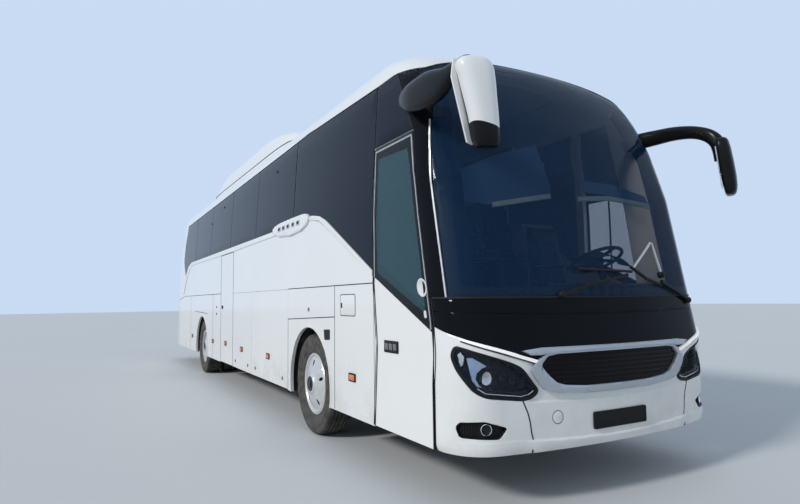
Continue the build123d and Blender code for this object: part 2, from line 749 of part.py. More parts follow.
# Deck boards from front to rear, then the driver's deck and the walls of its well
DECK_BOARDS = [
    (-WALL_INNER, DECK_BACK, WALL_INNER, FLAPS_FRONT),
    (-DECK_HALF, FLAPS_FRONT, DECK_HALF, MID_DOOR_FRONT),
    (-MID_STAIR_INNER, MID_DOOR_FRONT, DECK_HALF, MID_DOOR_REAR),
    (-DECK_HALF, MID_DOOR_REAR, DECK_HALF, FLAPS_REAR),
    (-WALL_INNER, FLAPS_REAR, WALL_INNER, TAIL_INNER),
    (TAIL_CORNER - WALL_INNER, TAIL_INNER, WALL_INNER - TAIL_CORNER, DECK_REAR),
]
floor_boards = [
    slab(west, front, DECK_LOW, east, rear, DECK)
    for west, front, east, rear in DECK_BOARDS
]
floor_boards += [
    slab(-STAIR_INNER, NOSE_DEPTH, DRIVER_LOW, WALL_INNER, DECK_FRONT, DRIVER_DECK),
    slab(-WALL_INNER, DECK_FRONT, STAIR_FOOT - STEP_THICK, -STAIR_INNER, DECK_BACK, DECK),
    slab(-STAIR_INNER, DECK_FRONT, DRIVER_LOW, WALL_INNER, DECK_BACK, DECK),
]
floor_boards += stair(STAIR_INNER, DRIVER_DECK, FRONT_DOOR_FRONT, DECK_FRONT, 3)
floor_boards += stair(MID_STAIR_INNER, DECK, MID_DOOR_FRONT, MID_DOOR_REAR, STAIR_STEPS)
finish_boards(floor_boards, "cabin_floor")

# Wheel housings: arched liners over each wheel, closed on the inner side
HOUSING_RADIUS = WHEEL_ARCH + LINER_GAP
HOUSING_THICK = 20
HOUSING_INNER = 560
HOUSING_FOOT = 400
AXLE_SLOT = 460
with BuildPart() as wheel_housings:
    for side in (RIGHT, LEFT):
        for axle in (FRONT_AXLE, REAR_AXLE):
            for inside, start, depth in (
                (HOUSING_RADIUS, HOUSING_INNER + HOUSING_THICK, HALF_WIDTH - WALL),
                (0, HOUSING_INNER, HOUSING_INNER + HOUSING_THICK),
            ):
                outside = HOUSING_RADIUS + HOUSING_THICK
                with BuildSketch(side_view(side * start)):
                    with Locations((axle, ARCH_HEIGHT)):
                        Circle(outside)
                        if inside:
                            Circle(inside, mode=Mode.SUBTRACT)
                    with Locations((axle, HOUSING_FOOT)):
                        Rectangle(3 * outside, 2 * outside, align=(Align.CENTER, Align.MAX), mode=Mode.SUBTRACT)
                        if not inside:
                            Rectangle(AXLE_SLOT, AXLE_SLOT, mode=Mode.SUBTRACT)
                extrude(amount=side * (depth - start))
finish(wheel_housings, "wheel_housings")

# Underframe: hold floor and bulkheads between the axles, rails over them
RAIL_X = 430
RAIL_WIDE = 80
RAIL_LOW = 720
RAIL_HIGH = 880
WELL_WALL = 40
WELL_FRONT = MID_DOOR_FRONT - WELL_WALL
WELL_REAR = MID_DOOR_REAR + WELL_WALL
WELL_EDGE = WELL_WALL - MID_STAIR_INNER
HOLD_LOW = HOLD_FLOOR - BULKHEAD

# Sill and floor of the hold round the mid stair's well, bulkheads on the sills, then the walls of the well
frame_plates = [
    slab(-DECK_HALF, HOLD_FRONT, HOLD_LOW, DECK_HALF, FLAPS_FRONT, HOLD_FLOOR),
    slab(-DECK_HALF, FLAPS_FRONT, HOLD_LOW, DECK_HALF, WELL_FRONT, HOLD_FLOOR),
    slab(WELL_EDGE + BULKHEAD, WELL_FRONT, HOLD_LOW, DECK_HALF, WELL_REAR, HOLD_FLOOR),
    slab(-DECK_HALF, WELL_REAR, HOLD_LOW, DECK_HALF, FLAPS_REAR, HOLD_FLOOR),
    slab(-DECK_HALF, FLAPS_REAR, HOLD_LOW, DECK_HALF, HOLD_REAR, HOLD_FLOOR),
    slab(-WALL_INNER, HOLD_FRONT, HOLD_FLOOR, WALL_INNER, FLAPS_FRONT, DECK_LOW),
    slab(-WALL_INNER, FLAPS_REAR, HOLD_FLOOR, WALL_INNER, HOLD_REAR, DECK_LOW),
    slab(-DECK_HALF, WELL_FRONT, HOLD_LOW, WELL_EDGE, WELL_FRONT + BULKHEAD, DECK_LOW),
    slab(-DECK_HALF, WELL_REAR - BULKHEAD, HOLD_LOW, WELL_EDGE, WELL_REAR, DECK_LOW),
    slab(WELL_EDGE, WELL_FRONT, HOLD_LOW, WELL_EDGE + BULKHEAD, WELL_REAR, DECK_LOW),
]
for start, stop in ((DECK_BACK, HOLD_FRONT), (HOLD_REAR, TAIL_INNER)):
    for x in (-RAIL_X, RAIL_X):
        frame_plates.append(slab(x - RAIL_WIDE / 2, start, RAIL_LOW, x + RAIL_WIDE / 2, stop, RAIL_HIGH))
    for place in (start, (start + stop - RAIL_WIDE) / 2, stop - RAIL_WIDE):
        inner = RAIL_X - RAIL_WIDE / 2
        frame_plates.append(slab(-inner, place, RAIL_LOW, inner, place + RAIL_WIDE, RAIL_HIGH))
finish_boards(frame_plates, "underframe")

# Running gear: wheels, hubs, steered knuckles, beams and air springs
TYRE_RADIUS = 512
HUB_Z = TYRE_RADIUS
BEAD_RADIUS = 290
RIM_THICK = 12
FRONT_TYRE_X = 1095
TWIN_OUTER_X = 1090
TWIN_INNER_X = 752
KINGPIN_X = 990
KINGPIN_RADIUS = 25
BOSS_RADIUS = 50
BOSS_HEIGHT = 160
SPINDLE_RADIUS = 45
HUB_RADIUS = 110
CAP_X = 1262


LIP_RADIUS = 310
LIP = 10
BEAD_HALF = 104
SPINDLE_END = 1232


# Local x is the radius and local y runs outwards along the axle
def wheel_plane(side, axle):
    return Plane(origin=(0, FRONT + axle, HUB_Z), x_dir=(0, 0, 1), z_dir=(0, side, 0))


def wheel_axis(axle):
    return Axis((0, FRONT + axle, HUB_Z), (1, 0, 0))


# radius and half width of the tyre, from the bead to the tread
TYRE_PROFILE = [(BEAD_RADIUS, BEAD_HALF), (LIP_RADIUS + 2, BEAD_HALF), (335, 128), (400, 149), (455, 145),
                (496, 130), (TYRE_RADIUS, 108)]
# wheel: side, axle, tyre centres
WHEELS = {
    "front_right": (RIGHT, FRONT_AXLE, [FRONT_TYRE_X]),
    "front_left": (LEFT, FRONT_AXLE, [FRONT_TYRE_X]),
    "rear_right": (RIGHT, REAR_AXLE, [TWIN_OUTER_X, TWIN_INNER_X]),
    "rear_left": (LEFT, REAR_AXLE, [TWIN_OUTER_X, TWIN_INNER_X]),
}
# radius and distance out of the wheel disc and the hub, on the front and rear wheels
FRONT_DISC = [(100, 1180), (165, 1180), (200, 1164), (282, 1120), (282, 1106), (195, 1150), (165, 1166), (100, 1166)]
FRONT_HUB = [(SPINDLE_RADIUS + RUNNING_GAP, 1100), (HUB_RADIUS, 1100), (HUB_RADIUS, 1235), (80, CAP_X), (0, CAP_X),
             (0, 1237), (SPINDLE_RADIUS + RUNNING_GAP, 1237)]
REAR_DISC = [(100, 928), (190, 928), (282, 985), (282, 971), (195, 914), (100, 914)]
REAR_HUB = [(SPINDLE_RADIUS + RUNNING_GAP, 860), (HUB_RADIUS, 860), (HUB_RADIUS, 1180), (80, 1200), (0, 1200),
            (0, 1182), (SPINDLE_RADIUS + RUNNING_GAP, 1182)]
INNER_DISC = [(100, 913), (190, 913), (282, 850), (282, 836), (195, 899), (100, 899)]
HAND_HOLES = 10
HAND_HOLE_RADIUS = 24
HAND_HOLE_CIRCLE = 228


for name, (side, axle, centres) in WHEELS.items():
    with BuildPart() as tyre:
        for centre in centres:
            with BuildSketch(wheel_plane(side, axle)):
                with BuildLine():
                    Polyline(*[(r, centre + half) for r, half in TYRE_PROFILE],
                             *[(r, centre - half) for r, half in reversed(TYRE_PROFILE)], close=True)
                make_face()
        revolve(axis=wheel_axis(axle))
    finish(tyre, f"tyre_{name}")

    discs = [FRONT_DISC, FRONT_HUB] if axle == FRONT_AXLE else [REAR_DISC, REAR_HUB, INNER_DISC]
    with BuildPart() as rim:
        with BuildSketch(wheel_plane(side, axle)):
            for outline in discs:
                with BuildLine():
                    Polyline(*outline, close=True)
                make_face()
            for centre in centres:
                edge = BEAD_HALF + 0.5
                with Locations((BEAD_RADIUS, centre)):
                    Rectangle(RIM_THICK, 2 * edge, align=(Align.MAX, Align.CENTER))
                with Locations((BEAD_RADIUS - RIM_THICK, centre + edge)):
                    Rectangle(LIP_RADIUS - BEAD_RADIUS + RIM_THICK, LIP, align=(Align.MIN, Align.MIN))
                with Locations((BEAD_RADIUS - RIM_THICK, centre - edge)):
                    Rectangle(LIP_RADIUS - BEAD_RADIUS + RIM_THICK, LIP, align=(Align.MIN, Align.MAX))
        revolve(axis=wheel_axis(axle))
        with BuildSketch(Plane(origin=(0, FRONT + axle, HUB_Z), x_dir=(0, 1, 0), z_dir=(1, 0, 0))):
            with PolarLocations(HAND_HOLE_CIRCLE, HAND_HOLES):
                Circle(HAND_HOLE_RADIUS)
        extrude(amount=side * CAP_X, mode=Mode.SUBTRACT)
    finish(rim, f"rim_{name}")

# Front beam with a kingpin boss at each end and arms to the air springs
BEAM_LOW = 440
BEAM_HIGH = 540
BEAM_DEEP = 90
SPRING_ARM = 70
SPRING_REACH = 320
SPRING_RADIUS = 105


def add_springs(axle, arm_low):
    for x in (-RAIL_X, RAIL_X):
        with BuildSketch(level(arm_low)) as arm:
            with Locations((x, axle)):
                Rectangle(SPRING_ARM, 2 * SPRING_REACH + SPRING_ARM)
        extrude(arm.sketch, amount=SPRING_ARM)
        with BuildSketch(level(arm_low + SPRING_ARM)) as spring:
            with Locations((x, axle - SPRING_REACH), (x, axle + SPRING_REACH)):
                Circle(SPRING_RADIUS)
        extrude(spring.sketch, amount=RAIL_LOW - arm_low - SPRING_ARM)


with BuildPart() as front_axle:
    with BuildSketch(level(BEAM_LOW)):
        with Locations((0, FRONT_AXLE)):
            Rectangle(2 * KINGPIN_X, BEAM_DEEP)
    extrude(amount=BEAM_HIGH - BEAM_LOW)
    with BuildSketch(level(HUB_Z - BOSS_HEIGHT / 2)):
        with Locations((-KINGPIN_X, FRONT_AXLE), (KINGPIN_X, FRONT_AXLE)):
            Circle(BOSS_RADIUS)
    extrude(amount=BOSS_HEIGHT)
    add_springs(FRONT_AXLE, BEAM_HIGH - SPRING_ARM)
    with BuildSketch(level(0)):
        with Locations((-KINGPIN_X, FRONT_AXLE), (KINGPIN_X, FRONT_AXLE)):
            Circle(KINGPIN_RADIUS + RUNNING_GAP)
    extrude(amount=2 * HUB_Z, mode=Mode.SUBTRACT)
finish(front_axle, "front_axle")

# Steered knuckles: a fork and pin on the beam's end, and the wheel's spindle
FORK = 38
FORK_GAP = 1
FORK_CLEAR = 6
FORK_PLATE = 30
for side, name in ((RIGHT, "right"), (LEFT, "left")):
    with BuildPart() as knuckle:
        reach = BOSS_RADIUS + FORK_CLEAR + FORK_PLATE
        half = BOSS_HEIGHT / 2 + FORK_GAP
        for foot in (HUB_Z + half, HUB_Z - half - FORK):
            with BuildSketch(level(foot)):
                with Locations((side * KINGPIN_X, FRONT_AXLE)):
                    Circle(BOSS_RADIUS)
                with Locations((side * (KINGPIN_X + reach / 2), FRONT_AXLE)):
                    Rectangle(reach, 2 * BOSS_RADIUS)
            extrude(amount=FORK)
        with BuildSketch(level(HUB_Z - half - FORK)):
            with Locations((side * KINGPIN_X, FRONT_AXLE)):
                Circle(KINGPIN_RADIUS)
            with Locations((side * (KINGPIN_X + reach - FORK_PLATE / 2), FRONT_AXLE)):
                Rectangle(FORK_PLATE, 2 * BOSS_RADIUS)
        extrude(amount=2 * (half + FORK))
        with BuildSketch(Plane(origin=(side * (KINGPIN_X + reach), FRONT + FRONT_AXLE, HUB_Z),
                               x_dir=(0, 1, 0), z_dir=(side, 0, 0))):
            Circle(SPINDLE_RADIUS)
        extrude(amount=SPINDLE_END - KINGPIN_X - reach)
    finish(knuckle, f"knuckle_{name}")

# Driven rear axle: a tube with a drive casing in the middle
REAR_TUBE = 70
REAR_TUBE_END = 820
CASING_RADIUS = 200
REAR_SPINDLE_END = 1177
with BuildPart() as rear_axle:
    with BuildSketch(wheel_plane(1, REAR_AXLE)):
        with BuildLine():
            Polyline((0, -REAR_SPINDLE_END), (SPINDLE_RADIUS, -REAR_SPINDLE_END), (SPINDLE_RADIUS, -REAR_TUBE_END),
                     (REAR_TUBE, -REAR_TUBE_END), (REAR_TUBE, -240), (CASING_RADIUS, -110),
                     (CASING_RADIUS, 110), (REAR_TUBE, 240), (REAR_TUBE, REAR_TUBE_END),
                     (SPINDLE_RADIUS, REAR_TUBE_END), (SPINDLE_RADIUS, REAR_SPINDLE_END), (0, REAR_SPINDLE_END),
                     close=True)
        make_face()
    revolve(axis=wheel_axis(REAR_AXLE))
    add_springs(REAR_AXLE, HUB_Z - SPRING_ARM / 2)
finish(rear_axle, "rear_axle")

# Engine across the tail: one plain block between the rails
ENGINE_FRONT = 10250
ENGINE_REAR = 11700
ENGINE_LOW = 480
ENGINE_HIGH = 1330
with BuildPart() as engine:
    with BuildSketch(level(ENGINE_LOW)):
        with Locations((0, ENGINE_FRONT)):
            Rectangle(2 * RAIL_X - RAIL_WIDE, ENGINE_REAR - ENGINE_FRONT, align=(Align.CENTER, Align.MIN))
    extrude(amount=ENGINE_HIGH - ENGINE_LOW)
finish(engine, "engine")

# Seats: cushion, back and pedestal outlines, as distance behind the seat's front and height over
# the floor. They meet along shared edges, and two seats share a pedestal.
SEAT_WIDE = 440
SEAT_SPLIT = 20
CUSHION_FOOT = (0, 380)
CUSHION_HEEL = (500, 370)
HINGE_POINT = (430, 460)
CUSHION = [CUSHION_FOOT, (0, 480), HINGE_POINT, CUSHION_HEEL]
BACKREST = [HINGE_POINT, (560, 1090), (620, 1130), (660, 1110), (560, 430), CUSHION_HEEL]
PEDESTAL = [(150, 0), (450, 0), (450, 371), (150, 377)]
PEDESTAL_WIDE = 120
SEAT_INNER = 260
SEAT_PITCH = 780
FIRST_SEAT = 1950
SEAT_ROWS = 12


def seat_board(outline, x, wide, front, floor):
    points = [(front + back, floor + height) for back, height in outline]
    with BuildPart() as board:
        with BuildSketch(side_view(x)):
            with BuildLine():
                Polyline(*points, close=True)
            make_face()
        extrude(amount=wide)
    return board.part.solid()


passenger_seats = []
for row in range(SEAT_ROWS):
    front = FIRST_SEAT + row * SEAT_PITCH
    for side in (RIGHT, LEFT):
        if side == RIGHT and MID_DOOR_FRONT - 700 < front < MID_DOOR_REAR + 60:
            continue
        low = SEAT_INNER if side == LEFT else -SEAT_INNER - 2 * SEAT_WIDE - SEAT_SPLIT
        for x in (low, low + SEAT_WIDE + SEAT_SPLIT):
            passenger_seats.append(seat_board(CUSHION, x, SEAT_WIDE, front, DECK))
            passenger_seats.append(seat_board(BACKREST, x, SEAT_WIDE, front, DECK))
        middle = low + SEAT_WIDE + SEAT_SPLIT / 2
        passenger_seats.append(seat_board(PEDESTAL, middle - PEDESTAL_WIDE / 2, PEDESTAL_WIDE, front, DECK))
finish_boards(passenger_seats, "passenger_seats")

DRIVER_X = 620
DRIVER_SEAT_FRONT = 800
driver_seat = []
for outline, wide in ((CUSHION, SEAT_WIDE), (BACKREST, SEAT_WIDE), (PEDESTAL, PEDESTAL_WIDE)):
    driver_seat.append(seat_board(outline, DRIVER_X - wide / 2, wide, DRIVER_SEAT_FRONT, DRIVER_DECK))
finish_boards(driver_seat, "driver_seat")

# Dashboard with the steering column, and the steering wheel
COLUMN_LEAN = 25
WHEEL_CENTRE = (DRIVER_X, 720, 1690)
STEER_RADIUS = 225
STEER_GRIP = 15
COLUMN_RADIUS = 28
COLUMN_LENGTH = 330
steer_plane = Plane(origin=(WHEEL_CENTRE[0], FRONT + WHEEL_CENTRE[1], WHEEL_CENTRE[2]), x_dir=(1, 0, 0),
                    z_dir=(0, sin(radians(COLUMN_LEAN)), cos(radians(COLUMN_LEAN))))
with BuildPart() as dashboard:
    with BuildSketch(side_view(-250)):
        with BuildLine():
            Polyline((340, DRIVER_DECK), (340, 1430), (420, 1470), (560, 1480), (680, 1420), (690, 1330),
                     (560, 1290), (520, DRIVER_DECK), close=True)
        make_face()
    extrude(amount=1130 + 250)
    with BuildSketch(steer_plane.offset(-40 - COLUMN_LENGTH)):
        Circle(COLUMN_RADIUS)
    extrude(amount=COLUMN_LENGTH)
finish(dashboard, "dashboard")

with BuildPart() as steering_wheel:
    with BuildSketch(Plane(origin=steer_plane.origin, x_dir=(1, 0, 0), z_dir=steer_plane.y_dir * -1)):
        with Locations((STEER_RADIUS, 0)):
            Circle(STEER_GRIP)
    revolve(axis=Axis(steer_plane.origin, steer_plane.z_dir))
    with BuildSketch(steer_plane.offset(-39)):
        Circle(60)
    extrude(amount=45)
    with BuildSketch(steer_plane.offset(-8)):
        Rectangle(2 * STEER_RADIUS, 40)
        with Locations((0, -STEER_RADIUS / 2)):
            Rectangle(40, STEER_RADIUS)
    extrude(amount=12)
finish(steering_wheel, "steering_wheel")

# Luggage racks: a bent shelf along each side above the windows
RACK_FRONT = 1900
RACK_REAR = 11200
RACK_SHELF = [(720, 2790), (1300, 2860), (1300, 2890), (705, 2818)]
RACK_LIP = [(705, 2818), (735, 2822), (735, 3010), (705, 3010)]


def rack_piece(outline, side):
    with BuildPart() as strip:
        with BuildSketch(front_view(RACK_REAR)):
            with BuildLine():
                Polyline(*[(side * x, z) for x, z in outline], close=True)
            make_face()
        extrude(amount=RACK_REAR - RACK_FRONT)
        add(inner_form, mode=Mode.INTERSECT)
    return strip.part.solid()


finish_boards([rack_piece(outline, side) for side in (RIGHT, LEFT) for outline in (RACK_SHELF, RACK_LIP)],
              "luggage_racks")

# Wipers: two arms and their blades, each on a plane turned to follow the glass
WIPER_GAP = 16
WIPER_THICK = 14
WIPER_PIVOT = 18
WIPER_SHAFT = 60
ARM_LINE = 34
BLADE_LINE = 26
SCREEN_RAKE = (LOWER_SECTIONS[1][1] - LOWER_SECTIONS[0][1]) / (SIDE_TOP - NOSE_TOP)
SCREEN_BOW = 5600
# middle of the wiper, then its points across and up the glass: pivot, elbow and the two ends of the blade
WIPERS = [
    (-60, [(-377, -15), (40, 120), (-270, 170), (365, 190)]),
    (650, [(250, -15), (-10, 170), (-325, 215), (140, 110)]),
]
with BuildPart() as wipers:
    for middle, points in WIPERS:
        bow = asin(middle / SCREEN_BOW)
        back = SCREEN_RAKE * (MASK_TOP - NOSE_TOP) + SCREEN_BOW * (1 - cos(bow)) - WIPER_GAP
        normal = Vector(sin(bow), -cos(bow), SCREEN_RAKE)
        glass_plane = Plane(origin=(middle, FRONT + back, MASK_TOP), x_dir=(cos(bow), sin(bow), 0), z_dir=normal)
        pivot, elbow, blade_start, blade_end = points
        for line, width in (((pivot, elbow), ARM_LINE), ((blade_start, elbow, blade_end), BLADE_LINE)):
            with BuildSketch(glass_plane):
                with BuildLine():
                    Polyline(*line)
                trace(line_width=width)
            extrude(amount=WIPER_THICK)
        with BuildSketch(glass_plane):
            with Locations(pivot):
                Circle(WIPER_PIVOT)
        extrude(amount=-WIPER_SHAFT)
    add(outer_form, mode=Mode.SUBTRACT)
finish(wipers, "wipers")
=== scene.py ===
from math import cos, pi, radians, sin

import bmesh
import bpy
import numpy as np
from mathutils import Matrix, Vector


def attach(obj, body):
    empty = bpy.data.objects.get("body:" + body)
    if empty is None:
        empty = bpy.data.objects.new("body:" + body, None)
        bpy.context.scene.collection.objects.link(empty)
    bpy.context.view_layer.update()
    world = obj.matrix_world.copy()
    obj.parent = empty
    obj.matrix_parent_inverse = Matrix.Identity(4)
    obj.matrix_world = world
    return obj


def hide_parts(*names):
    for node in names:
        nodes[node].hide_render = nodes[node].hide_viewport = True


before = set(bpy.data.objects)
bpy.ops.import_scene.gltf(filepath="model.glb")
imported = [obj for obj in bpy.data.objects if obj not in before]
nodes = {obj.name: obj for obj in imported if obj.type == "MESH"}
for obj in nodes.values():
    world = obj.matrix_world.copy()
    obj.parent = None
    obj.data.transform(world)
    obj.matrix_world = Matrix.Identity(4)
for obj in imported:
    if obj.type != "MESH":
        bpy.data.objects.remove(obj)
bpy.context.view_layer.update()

# Photographer's place
# The camera stands low and close to the right front corner, a wide lens turned a
# little upwards. Its place and angles come from lines fitted to the photograph.
STAND = Vector((-3.3454, -8.8657, 1.365))
YAW, PITCH, ROLL = radians(28.951), radians(4.746), radians(-0.7415)
LENS = 25.82
SIGHT = 200

ahead = Vector((sin(YAW) * cos(PITCH), cos(YAW) * cos(PITCH), sin(PITCH)))
level_right = Vector((cos(YAW), -sin(YAW), 0))
level_up = level_right.cross(ahead)
right = level_right * cos(ROLL) + level_up * sin(ROLL)
up = level_up * cos(ROLL) - level_right * sin(ROLL)
camera = bpy.data.objects.new("camera", bpy.data.cameras.new("camera"))
camera.data.lens = LENS
camera.data.clip_end = SIGHT
camera.matrix_world = Matrix.Translation(STAND) @ Matrix((right, up, -ahead)).transposed().to_4x4()
bpy.context.scene.collection.objects.link(camera)
bpy.context.scene.camera = camera
bpy.context.scene.view_settings.view_transform = "Standard"


# Studio
# A pale floor and a pale blue surround. One wide lamp stands to the coach's right,
# where the sun was, and the surround fills the shaded front.
class Wire:
    def __init__(self, finish, socket):
        self.finish, self.socket = finish, socket

    def __add__(self, other):
        return self.finish.maths("ADD", self, other)

    def __sub__(self, other):
        return self.finish.maths("SUBTRACT", self, other)

    def __rsub__(self, other):
        return self.finish.maths("SUBTRACT", other, self)

    def __mul__(self, other):
        return self.finish.maths("MULTIPLY", self, other)

    def __gt__(self, other):
        return self.finish.maths("GREATER_THAN", self, other)

    def __lt__(self, other):
        return self.finish.maths("LESS_THAN", self, other)

    def __abs__(self):
        return self.finish.maths("ABSOLUTE", self)

    __radd__, __rmul__ = __add__, __mul__


# A material whose inputs are numbers, colours or wires, and the slot that it goes in
class Finish:
    def __init__(self, name, colour, slot="black_plastic", roughness=0.5, metallic=0.0, **more):
        self.slot = slot
        self.material = bpy.data.materials.new(name)
        self.material.use_nodes = True
        self.shader = self.material.node_tree.nodes["Principled BSDF"]
        self.set("Base Color", (*colour, 1.0))
        self.set("Roughness", roughness)
        self.set("Metallic", metallic)
        for key, value in more.items():
            self.set(key.replace("_", " ").title(), value)

    def plug(self, socket, value):
        if isinstance(value, Wire):
            self.material.node_tree.links.new(value.socket, socket)
        else:
            socket.default_value = value

    def set(self, name, value):
        self.plug(self.shader.inputs[{"Specular": "Specular IOR Level"}.get(name, name)], value)

    def node(self, kind, settings=None, inputs=None, output=0):
        made = self.material.node_tree.nodes.new(kind)
        for key, value in (settings or {}).items():
            if key == "stops":
                for stop, (place, colour) in zip(made.color_ramp.elements, value):
                    stop.position, stop.color = place, (*colour, 1.0)
            else:
                setattr(made, key, value)
        for key, value in (inputs or {}).items():
            self.plug(made.inputs[key], value)
        return Wire(self, made.outputs[output])

    def maths(self, operation, first, second=0.0):
        return self.node("ShaderNodeMath", {"operation": operation}, {0: first, 1: second})

    def place(self, stretch=(1, 1, 1)):
        spot = self.node("ShaderNodeTexCoord", output="Object")
        return self.node("ShaderNodeMapping", inputs={"Vector": spot, "Scale": stretch})

    def axes(self):
        spot = self.place()
        return [self.node("ShaderNodeSeparateXYZ", inputs={"Vector": spot}, output=i) for i in range(3)]

    def clouds(self, scale, detail=3.0, stretch=(1, 1, 1)):
        return self.node("ShaderNodeTexNoise", inputs={"Vector": self.place(stretch), "Scale": scale,
                                                       "Detail": detail})

    def cells(self, scale, stretch=(1, 1, 1)):
        return self.node("ShaderNodeTexVoronoi", inputs={"Vector": self.place(stretch), "Scale": scale})

    def ribs(self, pitch):
        return abs(self.maths("SINE", self.axes()[2] * pitch))

    def mix(self, share, first, second):
        first, second = [c if isinstance(c, Wire) else (*c, 1.0) for c in (first, second)]
        return self.node("ShaderNodeMix", {"data_type": "RGBA"}, {0: share, 6: first, 7: second}, output=2)

    def between(self, wire, low, high):
        return self.node("ShaderNodeMapRange", {"interpolation_type": "SMOOTHSTEP"},
                         {"Value": wire, "From Min": low, "From Max": high})

    def bump(self, height, strength, distance):
        self.set("Normal", self.node("ShaderNodeBump", inputs={"Height": height, "Strength": strength,
                                                               "Distance": distance}))

    # Colour, roughness and surface that each follow a noise of given scale and detail
    def vary(self, scale, detail, dark, light, span=None, rough=None, grain=None):
        share = self.clouds(scale, detail)
        self.set("Base Color", self.mix(self.between(share, *span) if span else share, dark, light))
        if rough:
            self.set("Roughness", self.clouds(*rough[:2]) * rough[2] + rough[3])
        if grain:
            self.bump(self.clouds(*grain[:2]), *grain[2:])


SURROUND = (0.58, 0.71, 0.90, 1)
FILL = (0.74, 0.86, 1.0, 1)
FILL_LEVEL = 0.55
world = bpy.data.worlds.new("studio")
bpy.context.scene.world = world
world.use_nodes = True
sky = world.node_tree
seen, filling = [sky.nodes.new("ShaderNodeBackground") for _ in range(2)]
seen.inputs["Color"].default_value = SURROUND
filling.inputs["Color"].default_value = FILL
filling.inputs["Strength"].default_value = FILL_LEVEL
rays = sky.nodes.new("ShaderNodeLightPath").outputs
looks = rays["Is Camera Ray"]
for kind in ("Is Glossy Ray", "Is Transmission Ray"):
    either = sky.nodes.new("ShaderNodeMath")
    either.operation = "MAXIMUM"
    sky.links.new(looks, either.inputs[0])
    sky.links.new(rays[kind], either.inputs[1])
    looks = either.outputs[0]
blend = sky.nodes.new("ShaderNodeMixShader")
for number, wire in enumerate((looks, filling.outputs[0], seen.outputs[0])):
    sky.links.new(wire, blend.inputs[number])
sky.links.new(blend.outputs[0], sky.nodes["World Output"].inputs["Surface"])

SUN_FROM = Vector((-1.0, -0.12, 0.62))
SUN_COLOUR = (1.0, 0.97, 0.91)
SUN_LEVEL = 1.9
SUN_WIDE = radians(9)
sun = bpy.data.objects.new("sun", bpy.data.lights.new("sun", "SUN"))
sun.data.energy, sun.data.angle, sun.data.color = SUN_LEVEL, SUN_WIDE, SUN_COLOUR
sun.rotation_mode = "QUATERNION"
sun.rotation_quaternion = SUN_FROM.to_track_quat("Z", "Y")
bpy.context.scene.collection.objects.link(sun)

FLOOR_HALF = 90
pale = Finish("pale floor", (0.62, 0.64, 0.66), roughness=0.8)
pale.vary(0.35, 5.0, (0.60, 0.62, 0.64), (0.64, 0.66, 0.68))
floor = bpy.data.objects.new("floor", bpy.data.meshes.new("floor"))
ground = bmesh.new()
bmesh.ops.create_grid(ground, x_segments=1, y_segments=1, size=FLOOR_HALF)
ground.to_mesh(floor.data)
ground.free()
floor.data.materials.append(pale.material)
bpy.context.scene.collection.objects.link(floor)


# Enamel
# The body panels are white two-pack enamel under clear lacquer, a little uneven
# over its large sheets. Road film makes it warmer and duller towards the skirt.
def coat(finish, *names):
    for name in names:
        slots = nodes[name].material_slots
        if not slots:
            nodes[name].data.materials.append(finish.material)
        for slot in slots:
            slot.material = finish.material


COAT = 0.7
ENAMEL_DARK, ENAMEL_LIGHT = (0.77, 0.775, 0.775), (0.815, 0.815, 0.805)
SKIRT_DUST = (0.46, 0.43, 0.38)
DUST_FOOT, DUST_TOP = 0.36, 0.95
HUB_HEIGHT = 0.512
AXLE_PLACES = {"front": -3.1475, "rear": 2.9325}
ARCH_LEVEL = 0.506
ARCH_EDGE = 0.5915
SKIN_INSIDE = 1.2720
ARCH_BLACK = (0.012, 0.012, 0.013)


# The white paint with its film of road dust: the finish, its axes and its colour
def road_enamel(name):
    made = Finish(name, (0.80, 0.80, 0.79), "white_paint", 0.28, coat_weight=COAT, coat_roughness=0.05)
    axes = made.axes()
    patches = made.between(made.clouds(3.0, 6.0), 0.38, 0.72)
    film = (1 - made.between(axes[2], DUST_FOOT, DUST_TOP)) * patches
    stops = (0.3, ENAMEL_DARK), (0.7, ENAMEL_LIGHT)
    cloudy = made.node("ShaderNodeValToRGB", {"stops": stops}, {"Fac": made.clouds(0.6, 2.0)})
    made.set("Roughness", film * 0.35 + 0.24)
    return made, axes, made.mix(film * 0.38, cloudy, SKIRT_DUST)


enamel, _, painted = road_enamel("white enamel")
enamel.set("Base Color", painted)
enamel.bump(enamel.clouds(1.3, 1.0), 0.04, 0.02)
coat(enamel, "roof", "rear_wall", "rear_bumper", "mid_door", "engine_lid",
     "flap_right_front", "flap_right_rear", "flap_left_front", "flap_left_middle", "flap_left_rear")

# The side walls are the same enamel, turned black on the cut edges of the arches
wall_enamel, (across, along, height), painted = road_enamel("side wall enamel")
up = height - ARCH_LEVEL
near = 0
for place in AXLE_PLACES.values():
    off = along - place
    near = (wall_enamel.maths("SQRT", off * off + up * up) < ARCH_EDGE) + near
cut_edge = (near > 0.5) * (abs(across) < SKIN_INSIDE)
wall_enamel.set("Base Color", wall_enamel.mix(cut_edge, painted, ARCH_BLACK))
wall_enamel.set("Coat Weight", COAT - cut_edge * COAT)
coat(wall_enamel, "side_wall_right", "side_wall_left")

# Chassis
# Hold floor, bulkheads and rails are coated steel plate, grey with dust. The beams
# and air springs hang under them, and the engine fills the tail.
chassis = Finish("chassis coating", (0.045, 0.046, 0.048), roughness=0.55)
grime = chassis.between(chassis.clouds(4.0, 6.0), 0.35, 0.7)
chassis.set("Base Color", chassis.mix(grime, (0.035, 0.036, 0.038), (0.12, 0.105, 0.088)))
chassis.set("Roughness", grime * 0.3 + 0.5)
chassis.bump(chassis.clouds(60.0, 3.0), 0.25, 0.002)
coat(chassis, "underframe", "front_axle", "rear_axle", "front_door_arm", "mid_door_arm")

